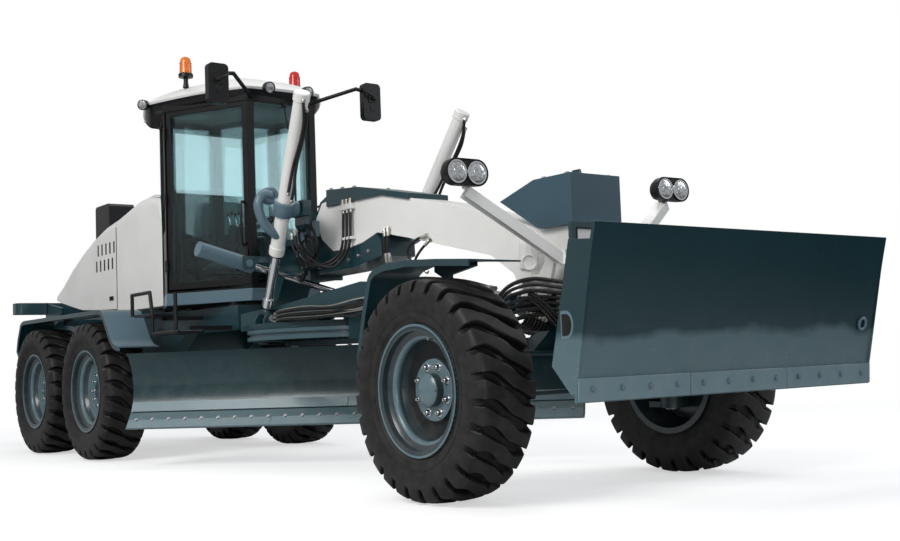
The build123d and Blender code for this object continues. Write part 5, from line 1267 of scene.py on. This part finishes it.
dressed("blade_carrier", teal, 0.004)
# Painted reflection: below about 0.56 m the moldboard's face is painted pale blue-grey, standing for the
# ground it mirrors.
blade_teal = painted("blade_paint", (0.007, 0.036, 0.044), rough=0.28, dust=0.15, reflection_below=0.56)
dressed("moldboard", blade_teal, 0.003)
edge_steel = painted("edge_paint", (0.150, 0.235, 0.265), rough=0.36, dust=0.25)
edge_run = unit(np.array([0.106 - 0.020, 0.338 - 0.476]))
edge_pitch, edge_bolt = 0.152, 0.013
edge_facing = -edge_run[1] * across_blade + np.array([0, 0, edge_run[0]])
edge_spots = np.arange(-blade_long / 2 + edge_pitch / 2, blade_long / 2, edge_pitch)
edge_places = np.stack([on_blade(0.060 + 0.0065, y, 0.413 + 0.0045) for y in edge_spots])
joined("edge_bolts", bolts(edge_places, edge_facing, edge_bolt), steel, "moldboard")
strips = []
half_long = blade_long / 2
for (xa, za), (xb, zb), deep in (((0.1135, 0.3435), (0.0655, 0.4165), 0.004),
                                 ((0.0110, 0.4830), (-0.0300, 0.5650), 0.009)):
    a, b = on_blade(xa, 0, za), on_blade(xb, 0, zb)
    up = unit(b - a)
    normal = np.cross(along_blade, up)
    normal *= np.sign(normal @ across_blade)
    tall = np.linalg.norm(b - a)
    pieces = 3 if deep == 0.004 else 2
    for k in range(pieces):
        y0 = -half_long + k * 2 * half_long / pieces + 0.002
        y1 = -half_long + (k + 1) * 2 * half_long / pieces - 0.002
        strips.append(plate([(y0, 0), (y1, 0), (y1, tall), (y0, tall)], a, along_blade, up,
                            deep * np.sign(np.cross(along_blade, up) @ across_blade)))
joined("cutting_edge_strips", strips, edge_steel, "moldboard", 0.002)
end_bits = []
for end in (-1, 1):
    y = end * (half_long - 0.0005)
    outline = [(0.118, 0.345), (0.075, 0.365), (0.045, 0.420), (-0.020, 0.500), (-0.056, 0.610),
               (-0.060, 0.720), (-0.030, 0.860),
               (0.030, 0.965), (0.072, 0.993), (0.050, 0.996), (-0.010, 0.940), (-0.055, 0.860),
               (-0.082, 0.740), (-0.082, 0.600),
               (-0.050, 0.480), (0.020, 0.380), (0.086, 0.338)]
    end_bits.append(plate(outline, on_blade(0, y - (0.010 if end < 0 else 0.0), 0), across_blade, (0, 0, 1),
                          -0.010))
joined("moldboard_end_plates", end_bits, teal, "moldboard", 0.001)
jaw_bolts = []
for side in (-1, 1):
    for z in (0.50, 0.62, 0.74, 0.83):
        jaw_bolts += bolts([np.array([circle_x, 0, 0]) + -0.153 * across_blade + (side * 0.5) * along_blade
                            + np.array([0, 0, z])], across_blade, 0.012)
joined("jaw_bolts", jaw_bolts, steel, "blade_carrier")

# ---------------------------------------------------------------- dozer tower
# The nose ends in an upright plate with a white panel in a black seal in its head; ears on it hold two pairs
# of links and the lift ram.  A round white reservoir and the hose bundle stand beside it.
for node in ("dozer_mount", "dozer_arms", "dozer_links"):
    dressed(node, teal, 0.004)
nose_x = 4.050
window = [block((nose_x - 0.002, y0, z0), (nose_x + 0.034, y1, z1)) for y0, y1, z0, z1 in (
    (-0.290, 0.290, 1.5355, 1.541), (-0.290, 0.290, 1.619, 1.6245), (-0.290, -0.284, 1.541, 1.619),
    (0.284, 0.290, 1.541, 1.619))]
joined("tower_window_seal", window, rubber_trim, "front_frame")
joined("tower_window", [block((nose_x + 0.010, -0.285, 1.540), (nose_x + 0.014, 0.285, 1.620))], white,
       "front_frame")
frame_bolts = []
for side in (-1, 1):
    frame_bolts += bolts([(nose_x + 0.0305, side * 0.290, z) for z in (0.78, 0.90, 1.02, 1.14, 1.26, 1.38)],
                         (1, 0, 0), 0.016)
joined("tower_bolts", frame_bolts, steel, "front_frame")
can = np.array([3.590, -0.262, 1.400])
canister = [turned([(0, 0), (0, 0.046), (0.008, 0.058), (0.165, 0.060), (0.190, 0.054), (0.206, 0.036),
                    (0.212, 0)], can, (0, 0, 1), 32),
            turned([(0, 0.052), (0.018, 0.054), (0.022, 0.050), (0.022, 0.042), (0.012, 0.040), (0.012, 0)],
                   can + (0.045, -0.035, 0.045), (0.75, -0.66, 0), 32),
            block((3.560, -0.300, 1.255), (3.645, -0.225, 1.402)),
            block((3.600, -0.225, 1.36), (3.640, -0.168, 1.50))]
joined("reservoir", canister, white, "front_frame", 0.003)
link_plate = plate([(3.640, 1.36), (3.700, 1.36), (3.800, 1.47), (3.965, 1.50), (3.965, 1.44), (3.850, 1.42),
                    (3.780, 1.20), (3.700, 1.20)],
                   (0, -0.255, 0), (1, 0, 0), (0, 0, 1), 0.03)
joined("nose_bracket", [link_plate], white, "front_frame", 0.003)

# ---------------------------------------------------------------- dozer blade
# A heavy blue-green blade with side cheeks, a bolted straight cutting edge in three lengths, and a lifting
# eye welded on its face.  Its lower face is painted pale: a painted reflection of the ground.
dozer_teal = painted("dozer_paint", (0.007, 0.036, 0.044), rough=0.26, dust=0.15, reflection_below=0.93)
dressed("dozer_blade", dozer_teal, 0.004, 3)
dozer_half = 1.240
foot, shoulder = np.array([5.0303, 0, 0.606]), np.array([5.0385, 0, 0.737])
up = unit(shoulder - foot)
normal = np.cross((0, 1, 0), up)
edges = []
for k in range(3):
    y0, y1 = -dozer_half + 0.003 + k * 2 * dozer_half / 3, -dozer_half + (k + 1) * 2 * dozer_half / 3 - 0.003
    edges.append(plate([(y0, 0), (y1, 0), (y1, 0.118), (y0, 0.118)], foot + normal * 0.0005, (0, 1, 0), up,
                       0.009))
joined("dozer_cutting_edge", edges, edge_steel, "dozer_blade", 0.002)
edge_places = [foot + normal * 0.0095 + up * 0.062 + (0, y, 0)
               for y in np.linspace(-dozer_half + 0.10, dozer_half - 0.10, 12)]
joined("dozer_edge_bolts", bolts(edge_places, normal, 0.013), pale_teal, "dozer_blade")
turn = np.linspace(0, 2 * pi, 33)[:-1]


def torus(centre, axis, radius, thick):
    """Ring: a small circle of the given thickness swept round the axis at the radius."""
    rows = np.stack([thick * np.sin(turn[::2]), radius + thick * np.cos(turn[::2])], -1)
    points, _ = turned(rows, centre, axis, 36)
    return points, grid_faces(16, 36, ring_u=True, ring_v=True)


face_slope = unit(np.array([5.110 - 5.040, 0, 1.060 - 0.760]))
face_normal = np.cross((0, 1, 0), face_slope)
eye = torus(np.array([5.040, 1.105, 0.760]) + face_slope * 0.215 + face_normal * 0.010, face_normal, 0.034,
            0.009)
joined("dozer_face_eye", [eye], pale_teal, "dozer_blade")
cheek_parts, cheek_hole_shade = [], []
for side in (-1, 1):
    middle = np.array([4.975, side * (dozer_half + 0.0005), 0.993])
    arc = np.linspace(-pi / 2, pi / 2, 13)
    dee = np.concatenate([np.stack([0.040 * np.cos(arc), 0.055 * np.sin(arc)], -1),
                          [(-0.030, 0.055), (-0.030, -0.055)]])
    # Painted shade: each D-shaped hole is a thin black plate on the cheek, standing for the dark inside the
    # hole.
    cheek_hole_shade.append(plate(dee, middle, (1, 0, 0), (0, 0, 1), -side * 0.0015))
    cheek_parts.append(plate(dee * 1.30, middle - (0, side * 0.006, 0), (1, 0, 0), (0, 0, 1), -side * 0.0065))
joined("cheek_rims", cheek_parts, pale_teal, "dozer_blade", 0.001)
joined("cheek_hole_shade", cheek_hole_shade, rubber_trim, "dozer_blade")
dozer_pipes = []
for k in range(2):
    y = -0.055 + 0.11 * k
    dozer_pipes.append([(nose_x + 0.031, y * 1.3, 1.36), (nose_x + 0.09, y * 1.3, 1.37),
                        (nose_x + 0.13, y * 1.1, 1.30), (nose_x + 0.11, y, 1.22),
                        (nose_x + 0.06, y * 1.2, 1.16), (nose_x + 0.031, y * 1.4, 1.10)])
hose_run("dozer_ram_hoses", "front_frame", dozer_pipes, 0.011)
